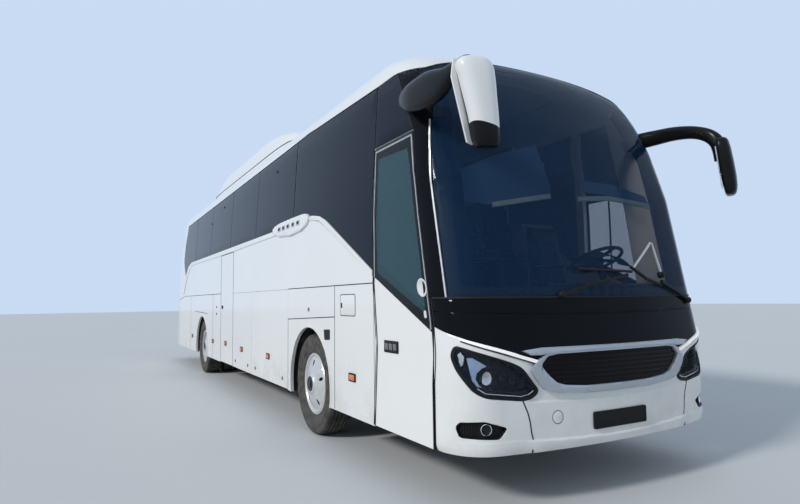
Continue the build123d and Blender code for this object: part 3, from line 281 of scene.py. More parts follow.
cast_iron = Finish("cast iron", (0.16, 0.16, 0.16), "frame_paint", 0.62, 0.6)
cast_iron.vary(9.0, 5.0, (0.13, 0.13, 0.13), (0.22, 0.15, 0.10), (0.45, 0.65), grain=(220.0, 2.0, 0.4, 0.001))
coat(cast_iron, "knuckle_left", "knuckle_right", "engine")

liner = Finish("arch liner", ARCH_BLACK, roughness=0.8)
liner.vary(5.0, 6.0, (0.010, 0.010, 0.011), (0.06, 0.055, 0.048), (0.4, 0.75), grain=(90.0, 3.0, 0.5, 0.003))
coat(liner, "wheel_housings")

# Wheels
# Radial coach tyres on ten-hole steel discs. Each front and rear wheel wears a dished
# silver cover with a ring of slots, a beaded rim edge and a black hub cap.
SIDES = ((-1, "right"), (1, "left"))
WELD = 1e-5


def piece(cast, name, finish, slot=None, body="coach_body", instead=None, crease=35):
    bmesh.ops.remove_doubles(cast, verts=cast.verts[:], dist=WELD)
    bmesh.ops.recalc_face_normals(cast, faces=cast.faces[:])
    for face in cast.faces:
        face.smooth = True
    for edge in cast.edges:
        edge.smooth = edge.calc_face_angle(0) < radians(crease)
    made = bpy.data.objects.new(name, bpy.data.meshes.new(name))
    cast.to_mesh(made.data)
    cast.free()
    finishes = finish if isinstance(finish, tuple) else (finish,)
    for part in finishes:
        made.data.materials.append(part.material)
    bpy.context.scene.collection.objects.link(made)
    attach(made, body)
    slot or finishes[0].slot
    if instead:
        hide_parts(instead)
    return made


def lay(cast, surface):
    spots = np.array([vert.co[:] for vert in cast.verts])
    for vert, spot in zip(cast.verts, surface(*spots.T)):
        vert.co = spot


def move(cast, *away):
    bmesh.ops.translate(cast, verts=cast.verts[:], vec=away)


def join(whole, cast):
    held = bpy.data.meshes.new("part")
    cast.to_mesh(held)
    cast.free()
    whole.from_mesh(held)
    bpy.data.meshes.remove(held)


def trace(cast, loop):
    corners = [cast.verts.new(corner) for corner in loop]
    for pair in zip(corners, corners[1:] + corners[:1]):
        cast.edges.new(pair)


def split(cast, spot, way, dist=1e-6):
    bmesh.ops.bisect_plane(cast, geom=cast.verts[:] + cast.edges[:] + cast.faces[:], dist=dist,
                           plane_co=spot, plane_no=way)


# A closed profile of radius and distance out, spun about an axle
def turned(profile, steps):
    cast = bmesh.new()
    trace(cast, [(out, radius, 0) for radius, out in profile])
    bmesh.ops.spin(cast, geom=cast.verts[:] + cast.edges[:], cent=(0, 0, 0), axis=(1, 0, 0), angle=2 * pi,
                   steps=steps, use_merge=True)
    return cast


TYRE_MIDDLES = {"front": [1.095], "rear": [1.090, 0.752]}
TYRE_STEPS = 96
# Half a section of the tyre from bead to tread: radius and distance from its middle
TYRE_SECTION = [
    (0.290, 0.100), (0.300, 0.108), (0.316, 0.112), (0.322, 0.120), (0.345, 0.134), (0.352, 0.1345),
    (0.356, 0.139), (0.385, 0.1475), (0.400, 0.149), (0.425, 0.1475), (0.430, 0.1495), (0.436, 0.1465),
    (0.462, 0.141), (0.478, 0.1375), (0.492, 0.1315), (0.501, 0.1235), (0.5055, 0.113), (0.508, 0.098),
    (0.5095, 0.088), (0.496, 0.0845), (0.496, 0.0775), (0.510, 0.074), (0.5115, 0.050), (0.497, 0.0465),
    (0.497, 0.0395), (0.5118, 0.036), (0.512, 0.006), (0.497, 0.0035),
]
tread = Finish("tyre rubber", (0.03, 0.029, 0.028), "tyre_rubber", 0.78)
spot_x, spot_y, spot_z = tread.axes()
along = spot_y - AXLE_PLACES["front"] - (spot_y > 0) * (AXLE_PLACES["rear"] - AXLE_PLACES["front"])
above = spot_z - HUB_HEIGHT
radius = tread.maths("SQRT", along * along + above * above)
bearing = tread.maths("ARCTAN2", along, above)
ring = tread.node("ShaderNodeCombineXYZ", inputs={0: bearing * 3.0, 1: radius * 6.0, 2: spot_x * 8.0})
scuff = tread.node("ShaderNodeTexNoise", inputs={"Vector": ring, "Scale": 2.2, "Detail": 6.0})
crown = tread.between(radius, 0.480, 0.500)
dusty = tread.between(scuff, 0.30, 0.72)
wall_shade = tread.mix(dusty, (0.034, 0.032, 0.029), (0.092, 0.083, 0.072))
tread_shade = tread.mix(dusty, (0.020, 0.019, 0.018), (0.075, 0.068, 0.060))
tread.set("Base Color", tread.mix(crown, wall_shade, tread_shade))
sipes = tread.maths("SINE", bearing * 96.0 + abs(spot_x) * 42.0) > 0.55
fins = tread.maths("SINE", bearing * 240.0) * (1 - crown) * tread.between(abs(radius - 0.445), 0.012, 0.006)
tread.bump(scuff * 0.15 - sipes * crown * 0.9 + fins * 0.25, 0.7, 0.006)
for end, place in AXLE_PLACES.items():
    for hand, side in SIDES:
        tyre = bmesh.new()
        for middle in TYRE_MIDDLES[end]:
            half = [(r, middle + w) for r, w in TYRE_SECTION]
            join(tyre, turned(half + [(r, middle - w) for r, w in reversed(TYRE_SECTION)], TYRE_STEPS))
        bmesh.ops.scale(tyre, verts=tyre.verts[:], vec=(hand, 1, 1))
        move(tyre, 0, place, HUB_HEIGHT)
        name = f"tyre_{end}_{side}"
        piece(tyre, name + "_treaded", tread, body=f"{end}_wheel_{side}", instead=name, crease=28)

alloy = Finish("wheel silver", (0.60, 0.61, 0.62), "silver_trim", 0.34, 0.35, coat_weight=0.4)
brake_dust = alloy.between(alloy.clouds(14.0, 5.0), 0.45, 0.8)
alloy.set("Base Color", alloy.mix(brake_dust, (0.60, 0.61, 0.61), (0.52, 0.51, 0.49)))
alloy.set("Roughness", brake_dust * 0.12 + 0.32)
coat(alloy, "rim_front_right", "rim_front_left", "rim_rear_right", "rim_rear_left")
gloss_cap = Finish("hub cap", (0.006, 0.006, 0.007), roughness=0.25, specular=0.3)
gloss_cap.set("Roughness", gloss_cap.clouds(30.0, 4.0) * 0.2 + 0.15)

# Cover and cap as radius and distance out from the tyre's middle plane. The cover
# has slots between two radii, each so many radians wide either way.
COVER_LINE = [(0.300, 0.112), (0.291, 0.121), (0.283, 0.120), (0.274, 0.108), (0.262, 0.109), (0.245, 0.117),
              (0.215, 0.127), (0.185, 0.135), (0.155, 0.141), (0.120, 0.146), (0.108, 0.150), (0.094, 0.163),
              (0.087, 0.169), (0.080, 0.169), (0.076, 0.166)]
CAP_LINE = [(0.0, 0.150), (0.0765, 0.150), (0.0765, 0.170), (0.072, 0.173), (0.066, 0.1725), (0.062, 0.1695),
            (0.046, 0.1695), (0.042, 0.174), (0.030, 0.177), (0.0, 0.178)]
COVER_SLOTS = 5
SLOT_FROM, SLOT_TO, SLOT_TURN = 0.174, 0.244, radians(4.6)
SLOT_CORNERS = 16
SLOT_FLARE = 0.25
SECTOR_CUTS = 15
CAP_STEPS = 48
SHEET = 0.004
REAR_INWARD = 0.042
RIM_RADIUS, CAP_RADIUS = COVER_LINE[0][0], COVER_LINE[-1][0]
SLOT_PITCH = 2 * pi / COVER_SLOTS
half_pitch = SLOT_PITCH / 2
radii, outs = zip(*reversed(COVER_LINE))
for end, place in AXLE_PLACES.items():
    middle = TYRE_MIDDLES[end][0] if end == "front" else TYRE_MIDDLES[end][0] - REAR_INWARD
    for hand, side in SIDES:
        cover = bmesh.new()
        for number in range(COVER_SLOTS):
            sector = bmesh.new()
            trace(sector, [(-half_pitch, 0, CAP_RADIUS), (half_pitch, 0, CAP_RADIUS),
                           (half_pitch, 0, RIM_RADIUS), (-half_pitch, 0, RIM_RADIUS)])
            trace(sector, [(SLOT_TURN * cos(a) * (1 + SLOT_FLARE * sin(a)), 0,
                            (SLOT_FROM + SLOT_TO) / 2 + (SLOT_TO - SLOT_FROM) / 2 * sin(a))
                           for a in np.linspace(0, 2 * pi, SLOT_CORNERS, endpoint=False)])
            bmesh.ops.triangle_fill(sector, edges=sector.edges[:], use_beauty=True)
            for turn in np.linspace(-half_pitch, half_pitch, SECTOR_CUTS)[1:-1]:
                split(sector, (turn, 0, 0), (1, 0, 0), 0)
            for r, _ in COVER_LINE[1:-1]:
                split(sector, (0, 0, r), (0, 0, 1), 0)

            def dish(turn, _, r):
                angle = turn + number * SLOT_PITCH
                out = np.interp(r, radii, outs)
                return np.stack([hand * (middle + out), r * np.sin(angle), r * np.cos(angle)], 1)

            lay(sector, dish)
            join(cover, sector)
        bmesh.ops.remove_doubles(cover, verts=cover.verts[:], dist=1e-4)
        bmesh.ops.recalc_face_normals(cover, faces=cover.faces[:])
        bmesh.ops.solidify(cover, geom=cover.faces[:], thickness=SHEET)
        cap = turned(CAP_LINE, CAP_STEPS)
        bmesh.ops.scale(cap, verts=cap.verts[:], vec=(hand, 1, 1))
        move(cap, hand * middle, 0, 0)
        for cast, name, finish in ((cover, "wheel_cover", alloy), (cap, "hub_cap", gloss_cap)):
            move(cast, 0, place, HUB_HEIGHT)
            piece(cast, f"{name}_{end}_{side}", finish, "wheel_metal", f"{end}_wheel_{side}", crease=50)

# Cabin
# Speckled vinyl on plywood boards for the floor, grey moulded racks along the roof
# and a soft black dashboard in front of the driver.
vinyl = Finish("floor vinyl", (0.10, 0.10, 0.11), roughness=0.6)
vinyl.vary(420.0, 2.0, (0.075, 0.078, 0.085), (0.22, 0.22, 0.21), (0.52, 0.60),
           grain=(300.0, 2.0, 0.2, 0.0005))
coat(vinyl, "cabin_floor")
moulding = Finish("rack moulding", (0.42, 0.43, 0.44), roughness=0.55)
moulding.vary(2.0, 3.0, (0.38, 0.39, 0.40), (0.46, 0.47, 0.48), grain=(500.0, 2.0, 0.25, 0.0004))
coat(moulding, "luggage_racks")
soft_touch = Finish("soft black moulding", (0.018, 0.018, 0.020), roughness=0.62)
soft_touch.vary(5.0, 4.0, (0.014, 0.014, 0.016), (0.03, 0.03, 0.032), grain=(700.0, 2.0, 0.3, 0.0004))
coat(soft_touch, "dashboard", "steering_wheel")

# Seats
# Foam cushions and backs under coach plush, on grey shells and steel pedestals. The
# covers are sewn from panels, so each crowns between its seams. A black leather
# patch finishes the head of every back.
SEAT_WIDE = 0.440
SEAT_SPLIT = 0.020
SEAT_INNER = 0.260
SEAT_PITCH = 0.780
FIRST_SEAT = -4.0475
SEAT_ROWS = 12
DECK = 1.400
DRIVER_SEAT = (0.400, -5.1975, 1.000)
SKIPPED_ROWS = (-0.4075, 1.2675)
INSET = 0.020
PAD_VOXEL = 0.012
PAD_CAP = 0.024
PAD_PRESSURE = 4.0
PAD_FRAMES = 20
PATCH_FROM = 0.905

plush = Finish("coach plush", (0.05, 0.06, 0.09), "seat_fabric", 0.95, sheen_weight=0.5, sheen_roughness=0.4)
flecks = plush.cells(34.0, (1, 1, 0.35))
ground_shade = plush.mix(plush.clouds(6.0, 4.0), (0.035, 0.042, 0.065), (0.060, 0.070, 0.100))
plush.set("Base Color", plush.mix(flecks < 0.16, ground_shade, (0.20, 0.24, 0.32)))
plush.bump(plush.cells(260.0), 0.5, 0.0012)
leather = Finish("black leather", (0.022, 0.021, 0.022), "seat_fabric", 0.45)
leather.vary(4.0, 3.0, (0.018, 0.017, 0.018), (0.032, 0.031, 0.031), rough=(20.0, 4.0, 0.2, 0.36))
leather.bump(leather.cells(420.0), 0.35, 0.0010)


def extruded(cast, away, keep=False):
    moved = bmesh.ops.extrude_face_region(cast, geom=cast.faces[:], use_keep_orig=keep)["geom"]
    risen = [part for part in moved if isinstance(part, bmesh.types.BMVert)]
    bmesh.ops.translate(cast, verts=risen, vec=away)
    return risen, [part for part in moved if isinstance(part, bmesh.types.BMFace)]


# A slab drawn in side view as back and height points, with its edges bevelled
def slab(outline, wide, soften, segments, sharp, triangles=False):
    cast = bmesh.new()
    cast.faces.new([cast.verts.new((0, y, z)) for y, z in outline])
    if triangles:
        bmesh.ops.triangulate(cast, faces=cast.faces[:])
    extruded(cast, (wide, 0, 0))
    bmesh.ops.recalc_face_normals(cast, faces=cast.faces[:])
    bmesh.ops.bevel(cast, geom=[edge for edge in cast.edges if edge.calc_face_angle(0) > sharp],
                    offset=soften,
                    offset_type="OFFSET", affect="EDGES", segments=segments, profile=0.5, material=-1)
    return cast


# A slab blown up like a stuffed pad, no point of it further than the cap
def pad(outline, bolster):
    cast = slab(outline, SEAT_WIDE - 2 * INSET, bolster, 3, 0.5, True)
    made = bpy.data.objects.new("pad", bpy.data.meshes.new("pad"))
    cast.to_mesh(made.data)
    cast.free()
    bpy.context.scene.collection.objects.link(made)
    bpy.context.view_layer.objects.active = made
    remesh = made.modifiers.new("remesh", "REMESH")
    remesh.mode = "VOXEL"
    remesh.voxel_size = PAD_VOXEL
    remesh.use_smooth_shade = True
    solid = bpy.data.meshes.new_from_object(made.evaluated_get(bpy.context.evaluated_depsgraph_get()))
    made.modifiers.clear()
    made.data = solid
    start = np.array([v.co[:] for v in solid.vertices])
    cloth = made.modifiers.new("cloth", "CLOTH")
    cloth.settings.use_pressure = True
    cloth.settings.uniform_pressure_force = PAD_PRESSURE
    cloth.settings.effector_weights.gravity = 0.0
    cloth.settings.quality = 5
    for number in range(PAD_FRAMES):
        bpy.context.scene.frame_set(number + 1)
    puffed = made.evaluated_get(bpy.context.evaluated_depsgraph_get()).to_mesh()
    end = np.array([v.co[:] for v in puffed.vertices])
    made.modifiers.clear()
    bpy.context.scene.frame_set(1)
    shift = end - start
    reach = np.linalg.norm(shift, axis=1, keepdims=True)
    start = start + shift * np.minimum(1.0, PAD_CAP / np.maximum(reach, 1e-9))
    faces = [tuple(p.vertices) for p in solid.polygons]
    bpy.data.objects.remove(made)
    return start, faces


# Sewn channels: the cover is drawn in along the lines where the panels meet
CHANNEL_WIDE = 0.009
CHANNEL_DEEP = 0.008


def channels(points, lines, normal):
    drawn = points.copy()
    for axis, place in lines:
        pull = np.exp(-((points[:, axis] - place) / CHANNEL_WIDE) ** 2) * CHANNEL_DEEP
        drawn -= pull[:, None] * np.array(normal)
    return drawn


def many(points, faces, places):
    spots = np.concatenate([points + np.array([x + INSET, y, z]) for x, y, z in places])
    count = len(points)
    copies = [tuple(i + number * count for i in face) for number in range(len(places)) for face in faces]
    mesh = bpy.data.meshes.new("pads")
    mesh.from_pydata(spots.tolist(), [], copies)
    cast = bmesh.new()
    cast.from_mesh(mesh)
    bpy.data.meshes.remove(mesh)
    return cast


places = []
for row in range(SEAT_ROWS):
    front = FIRST_SEAT + row * SEAT_PITCH
    for side, low in ((-1, -SEAT_INNER - 2 * SEAT_WIDE - SEAT_SPLIT), (1, SEAT_INNER)):
        if side > 0 or not SKIPPED_ROWS[0] < front < SKIPPED_ROWS[1]:
            places += [(low, front, DECK), (low + SEAT_WIDE + SEAT_SPLIT, front, DECK)]
SEATING = (("passenger", places, "passenger_seats"), ("driver", [DRIVER_SEAT], "driver_seat"))

# name, side view, bevel, channels as axis and place, and the way these are drawn in
PADS = [
    ("cushions", [(0.022, 0.402), (0.022, 0.462), (0.415, 0.444), (0.415, 0.390)], 0.022,
     [(0, 0.085), (0, 0.315), (1, 0.150), (1, 0.290)], (0, 0, 1)),
    ("backs", [(0.452, 0.455), (0.572, 1.060), (0.632, 1.085), (0.552, 0.458)], 0.024,
     [(0, 0.080), (0, 0.320), (2, 0.700), (2, 0.900)], (0, -1, 0)),
]
for name, outline, bolster, lines, normal in PADS:
    points, faces = pad(outline, bolster)
    points = channels(points, lines, normal)
    for owner, where, node in SEATING:
        covers = piece(many(points, faces, where), f"{owner}_seat_{name}", (plush, leather), instead=node,
                       crease=80)
        if name == "backs":
            for face in covers.data.polygons:
                face.material_index = int(face.center.z - where[0][2] > PATCH_FROM)

shell_grey = Finish("seat shell", (0.16, 0.165, 0.175), roughness=0.55)
shell_grey.vary(3.0, 3.0, (0.14, 0.145, 0.155), (0.18, 0.185, 0.195), grain=(600.0, 2.0, 0.25, 0.0004))
SHELL = [(0.000, 0.378), (0.010, 0.398), (0.430, 0.386), (0.560, 0.452), (0.642, 1.095), (0.655, 1.092),
         (0.572, 0.436), (0.500, 0.372)]
ARM_REST = [(0.100, 0.630), (0.100, 0.665), (0.480, 0.672), (0.480, 0.628)]
PEDESTAL = [(0.180, 0.000), (0.420, 0.000), (0.360, 0.380), (0.230, 0.380)]
ARM_WIDE = 0.036


def slice_of(cast, outline, x, wide, spot, soften=0.006):
    part = slab(outline, wide, soften, 1, -1)
    move(part, spot[0] + x, spot[1], spot[2])
    join(cast, part)


for owner, where, node in SEATING:
    shells, feet = bmesh.new(), bmesh.new()
    for number, spot in enumerate(where):
        slice_of(shells, SHELL, 0.012, SEAT_WIDE - 0.024, spot)
        slice_of(shells, ARM_REST, 0.0, ARM_WIDE, spot, 0.012)
        if owner == "driver":
            slice_of(shells, ARM_REST, SEAT_WIDE - ARM_WIDE, ARM_WIDE, spot, 0.012)
            slice_of(feet, PEDESTAL, 0.11, 0.22, spot, 0.02)
        elif number % 2 == 0:
            slice_of(feet, PEDESTAL, SEAT_WIDE - 0.05, 0.12, spot)
    piece(shells, f"{owner}_seat_shells", shell_grey, instead=node)
    piece(feet, f"{owner}_seat_pedestals", cast_iron, instead=node)

# Side walls
# Flat enamelled sheets over a welded frame, with the panel joints, the raised belt
# moulding, arch lips and the small fittings let into them or fixed on top.
BUMPER_FACE = -5.9975
HEIGHTS = [0.30, 0.362, 1.0, 1.6, 2.2, 2.44, 2.68, 3.005, 3.235, 3.38, 3.45]
HALF_WIDTHS = [1.275] * 5 + [1.263, 1.248, 1.228, 1.2, 1.09, 0.93]
# The skin is ruled up to the shoulder height and smoothed above it
SHOULDER = 6


def at_height(z, values):
    levels, row = np.array(HEIGHTS[SHOULDER:]), np.array(values[SHOULDER:], float)
    step = np.diff(levels)
    rise = np.diff(row) / step
    slope = np.zeros(len(row))
    slope[0], slope[-1] = rise[0], rise[-1]
    before, after = 2 * step[1:] + step[:-1], step[1:] + 2 * step[:-1]
    with np.errstate(divide="ignore", invalid="ignore"):
        slope[1:-1] = np.where(rise[:-1] * rise[1:] > 0,
                               (before + after) / (before / rise[:-1] + after / rise[1:]), 0)
    high = np.clip(z, levels[0], levels[-1])
    i = np.clip(np.searchsorted(levels, high) - 1, 0, len(step) - 1)
    h = step[i]
    t = (high - levels[i]) / h
    curved = (row[i] * (1 + 2 * t) * (1 - t) ** 2 + row[i + 1] * t * t * (3 - 2 * t)
              + h * (slope[i] * t * (1 - t) ** 2 - slope[i + 1] * t * t * (1 - t)))
    return np.where(z < levels[0], np.interp(z, HEIGHTS, values), curved)


# Flat work is drawn along and up, with its face towards +y, then laid on the body
def plate(*loops):
    cast = bmesh.new()
    for loop in loops:
        trace(cast, [(along, 0, height) for along, height in loop])
    bmesh.ops.triangle_fill(cast, use_beauty=True, edges=cast.edges[:], normal=(0, 1, 0))
    bmesh.ops.recalc_face_normals(cast, faces=cast.faces[:])
    if cast.faces and sum(face.normal.y * face.calc_area() for face in cast.faces) < 0:
        bmesh.ops.reverse_faces(cast, faces=cast.faces[:])
    return cast


def divide(cast, along=(), height=()):
    for at in along:
        split(cast, (at, 0, 0), (1, 0, 0))
    for at in height:
        split(cast, (0, 0, at), (0, 0, 1))


RIM_DROP = 0.6


def swell(cast, back, front, lip=0.0):
    move(cast, 0, back, 0)
    risen, top = extruded(cast, (0, front - back, 0), True)
    if lip:
        bmesh.ops.inset_region(cast, faces=top, thickness=lip, use_even_offset=True)
        kept = {vert for face in top for vert in face.verts}
        rim = [vert for vert in risen if vert not in kept]
        bmesh.ops.translate(cast, verts=rim, vec=(0, -RIM_DROP * min(lip, front - back), 0))


def rounded(points, radius, steps=4):
    loop = []
    for before, corner, after in zip(points[-1:] + points[:-1], points, points[1:] + points[:1]):
        here = Vector(corner)
        back, on = Vector(before) - here, Vector(after) - here
        reach = min(radius, back.length * 0.45, on.length * 0.45)
        start, stop = here + back.normalized() * reach, here + on.normalized() * reach
        for share in np.linspace(0, 1, steps + 1):
            loop.append(tuple(start * (1 - share) ** 2 + here * 2 * share * (1 - share) + stop * share ** 2))
    return loop


# A closed strip of even width along an open line
def band(points, width):
    line = [Vector(p) for p in points]
    sides = [[], []]
    for number, here in enumerate(line):
        before = (here - line[number - 1]).normalized() if number else None
        after = (line[number + 1] - here).normalized() if number < len(line) - 1 else None
        run = ((before or after) + (after or before)).normalized()
        across = Vector((-run.y, run.x))
        stretch = 1 / max(0.4, across.dot(Vector((-(after or before).y, (after or before).x))))
        for side, sign in zip(sides, (1, -1)):
            side.append(tuple(here + across * (sign * stretch * width / 2)))
    return sides[0] + sides[1][::-1]


def flank(side):
    def wall(along, out, height):
        return np.stack([side * (at_height(height, HALF_WIDTHS) + out), along + BUMPER_FACE, height], 1)
    return wall


def combine(casts):
    whole = bmesh.new()
    for cast in casts:
        join(whole, cast)
    return whole


def grid(low, high, step):
    return np.arange(low + step, high, step)


def circle(along, height, radius, corners=24):
    return [(along + radius * cos(a), height + radius * sin(a))
            for a in np.linspace(0, 2 * pi, corners, endpoint=False)]


def box_loop(low, foot, high, top, radius=0.0):
    corners = [(low, foot), (high, foot), (high, top), (low, top)]
    return rounded(corners, radius) if radius else corners


# One or more flat loops, laid on a surface between two depths. Small parts take a
# step so long that they aren't divided.
UNDIVIDED = 5.0
BURIED = -0.004
FLUSH = 0.0008


def fitted(surface, loops, back, front, step=0.12, lip=0.0):
    casts = []
    for loop in loops:
        sheet = plate(*loop) if isinstance(loop[0], list) else plate(loop)
        spots = np.array([vert.co[:] for vert in sheet.verts])
        low, high = spots.min(0), spots.max(0)
        divide(sheet, grid(low[0], high[0], step), grid(low[2], high[2], step))
        swell(sheet, back, front, lip)
        lay(sheet, surface)
        casts.append(sheet)
    return combine(casts)


def fit(name, finish, surface, loops, back, front, step=0.12, lip=0.0, **more):
    return piece(fitted(surface, loops, back, front, step, lip), name, finish, **more)


SEAM_WIDE = 0.009
seam_black = Finish("panel gap", (0.010, 0.010, 0.011), roughness=0.7)
seam_black.vary(8.0, 4.0, (0.006, 0.006, 0.007), (0.022, 0.021, 0.020))
rubber = Finish("sealing rubber", (0.010, 0.010, 0.011), roughness=0.6, specular=0.2)
rubber.vary(7.0, 4.0, (0.010, 0.010, 0.011), (0.028, 0.027, 0.026), grain=(400.0, 2.0, 0.2, 0.0004))

# Joints as along and height points: those of both sides, then the door side's and
# the driver's side's own
BOTH_JOINTS = [
    [(2.150, 1.498), (2.158, 0.372)], [(2.155, 1.212), (3.541, 1.160)], [(8.39, 1.152), (9.76, 1.180)],
    [(10.25, 0.372), (10.25, 1.503)], [(3.5415, 1.173), (3.5415, 0.372)],
]
OWN_JOINTS = {
    "right": [[(1.335, 1.503), (3.545, 1.503)], [(7.21, 1.503), (11.14, 1.503), (11.95, 1.425)],
              [(7.88, 0.372), (7.88, 1.503)]],
    "left": [[(0.69, 1.503), (3.545, 1.503)], [(8.26, 1.503), (11.14, 1.503), (11.95, 1.425)],
             [(1.30, 0.372), (1.30, 1.503)]],
}
for side, name in SIDES:
    lines = OWN_JOINTS[name] + BOTH_JOINTS
    fit(f"panel_joints_{name}", seam_black, flank(side), [band(line, SEAM_WIDE) for line in lines], BURIED,
        FLUSH)

# The belt moulding rises behind the front door, or the driver's window, and drops
# again at the tail. Its first top and foot points differ by side.
BELT_START = {"right": [(1.335, 1.606), (1.335, 1.560)], "left": [(0.70, 1.278), (0.70, 1.232)]}
BELT_TOP = [(2.199, 2.066), (2.360, 2.150), (2.528, 2.212), (2.744, 2.246), (4.074, 2.216), (6.211, 2.212),
            (10.022, 2.216), (10.300, 2.195), (10.560, 2.135), (10.839, 2.029), (11.10, 1.88), (11.33, 1.66)]
BELT_LOW = [(2.262, 2.030), (2.528, 2.160), (2.800, 2.205), (4.126, 2.168), (6.209, 2.153), (10.178, 2.158),
            (10.420, 2.115), (10.700, 2.000), (11.05, 1.765), (11.30, 1.54)]
cream = Finish("belt moulding", (0.80, 0.79, 0.76), "white_paint", 0.3, coat_weight=0.6, coat_roughness=0.05)
cream.vary(2.0, 4.0, (0.77, 0.765, 0.74), (0.82, 0.815, 0.79), rough=(5.0, 4.0, 0.15, 0.22))
for side, name in SIDES:
    top, low = BELT_START[name]
    outline = [top] + BELT_TOP + BELT_LOW[::-1] + [low]
    fit(f"belt_moulding_{name}", cream, flank(side), [outline], BURIED, 0.011, 0.15, 0.006)

# Vent plate at the crest of the belt, a white pod with five dark slots
VENT_PLATE = [(4.100, 2.262), (4.110, 2.215), (4.060, 2.178), (3.866, 2.140), (3.483, 2.110), (3.100, 2.125),
              (2.900, 2.170), (2.810, 2.232), (2.850, 2.280), (2.974, 2.296), (3.500, 2.300), (3.950, 2.292)]
VENT_SLOTS = [3.817, 3.652, 3.484, 3.306, 3.136]
VENT_LEVEL = 2.221
dull_black = Finish("moulded black", (0.012, 0.012, 0.013), roughness=0.45, specular=0.12)
dull_black.vary(6.0, 4.0, (0.009, 0.009, 0.010), (0.018, 0.018, 0.019), grain=(500.0, 2.0, 0.25, 0.0004))
for side, name in SIDES:
    wall = flank(side)
    slots = [box_loop(s - 0.052, 2.192, s + 0.052, 2.250, 0.016) for s in VENT_SLOTS]
    frames = [[slot, [(s + (a - s) * 0.74, VENT_LEVEL + (h - VENT_LEVEL) * 0.62) for a, h in slot]]
              for slot, s in zip(slots, VENT_SLOTS)]
    fit(f"vent_plate_{name}", enamel, wall, [rounded(VENT_PLATE, 0.03)], BURIED, 0.026, 0.10, 0.014)
    fit(f"vent_slots_{name}", seam_black, wall, slots, 0.020, 0.0275)
    fit(f"vent_frames_{name}", alloy, wall, frames, 0.020, 0.030)

# Arch lips: a rolled edge that follows each wheel opening
ARCH_RADIUS = 0.590
LIP_RADIUS = ARCH_RADIUS * 1.014
SKIRT = 0.362
arch_start = np.arcsin((SKIRT - ARCH_LEVEL) / ARCH_RADIUS)
lips = []
for side, _ in SIDES:
    for place in AXLE_PLACES.values():
        line = [(place - BUMPER_FACE + LIP_RADIUS * cos(a), ARCH_LEVEL + LIP_RADIUS * sin(a))
                for a in np.linspace(arch_start, pi - arch_start, 40)]
        lips.append(fitted(flank(side), [band(line, 0.026)], -0.030, 0.006, UNDIVIDED, 0.004))
piece(combine(lips), "arch_lips", enamel)

# Side markers: amber lenses in black frames, some of them on the flaps
MARKERS = {"right": [(1.754, 0.698), (4.348, 0.675), (5.728, 0.668), (6.810, 0.690), (7.858, 0.669),
                     (10.023, 0.660)],
           "left": [(1.754, 0.698), (4.90, 0.672), (6.40, 0.668), (7.858, 0.669), (10.023, 0.660)]}
# Front, rear and body of the moving leaves that carry markers
LEAVES = {"right": [(3.545, 5.160, "flap_right_front"), (5.160, 6.290, "flap_right_rear"),
                    (6.290, 7.205, "mid_door")],
          "left": [(3.545, 5.160, "flap_left_front"), (5.160, 6.730, "flap_left_middle"),
                   (6.730, 8.255, "flap_left_rear")]}
amber = Finish("amber lens", (0.75, 0.16, 0.01), "lamp_lens", 0.12, coat_weight=0.6)
ribs = amber.node("ShaderNodeTexWave", {"bands_direction": "Y"}, {"Vector": amber.place(), "Scale": 70.0})
amber.set("Base Color", amber.mix(ribs, (0.62, 0.11, 0.01), (0.85, 0.22, 0.02)))
amber.bump(ribs, 0.4, 0.001)
for side, name in SIDES:
    for a, h in MARKERS[name]:
        body = next((leaf for low, high, leaf in LEAVES[name] if low < a < high), "coach_body")
        housing = box_loop(a - 0.070, h - 0.036, a + 0.070, h + 0.036, 0.012)
        lens = box_loop(a - 0.058, h - 0.024, a + 0.046, h + 0.024, 0.008)
        number = round(a * 10)
        fit(f"marker_base_{name}_{number}", dull_black, flank(side), [housing], BURIED, 0.009, UNDIVIDED,
            0.004, body=body)
        fit(f"marker_lens_{name}_{number}", amber, flank(side), [lens], 0.004, 0.015, UNDIVIDED, 0.006,
            body=body)

# Fuel filler door, its latch, service recess and small locks
SERVICE_RECESS = [(2.431, 1.084), (2.269, 1.091), (2.270, 0.992), (2.412, 0.984)]
FLAP_LOCK = 0.47
LOCKS = {
    "right": [(2.856, 1.275, "coach_body"), (7.547, 1.278, "coach_body"), (7.547, 1.160, "coach_body"),
              (3.75, FLAP_LOCK, "flap_right_front"), (4.95, FLAP_LOCK, "flap_right_front"),
              (5.35, FLAP_LOCK, "flap_right_rear"), (6.10, FLAP_LOCK, "flap_right_rear")],
    "left": [(2.856, 1.275, "coach_body"), (3.75, FLAP_LOCK, "flap_left_front"),
             (4.95, FLAP_LOCK, "flap_left_front"),
             (5.35, FLAP_LOCK, "flap_left_middle"), (6.55, FLAP_LOCK, "flap_left_middle"),
             (6.90, FLAP_LOCK, "flap_left_rear"), (8.10, FLAP_LOCK, "flap_left_rear")],
}


FUEL_FRONT, FUEL_FOOT, FUEL_REAR, FUEL_TOP = 1.682, 1.224, 2.020, 1.420


# A loop inside the opening of the fuel door, at an even distance from its edge
def fuel_loop(inset, radius):
    front, foot, rear, top = FUEL_FRONT + inset, FUEL_FOOT + inset, FUEL_REAR - inset, FUEL_TOP - inset
    return rounded([(rear, top), (front, top), (front, foot), (rear, foot)], radius)


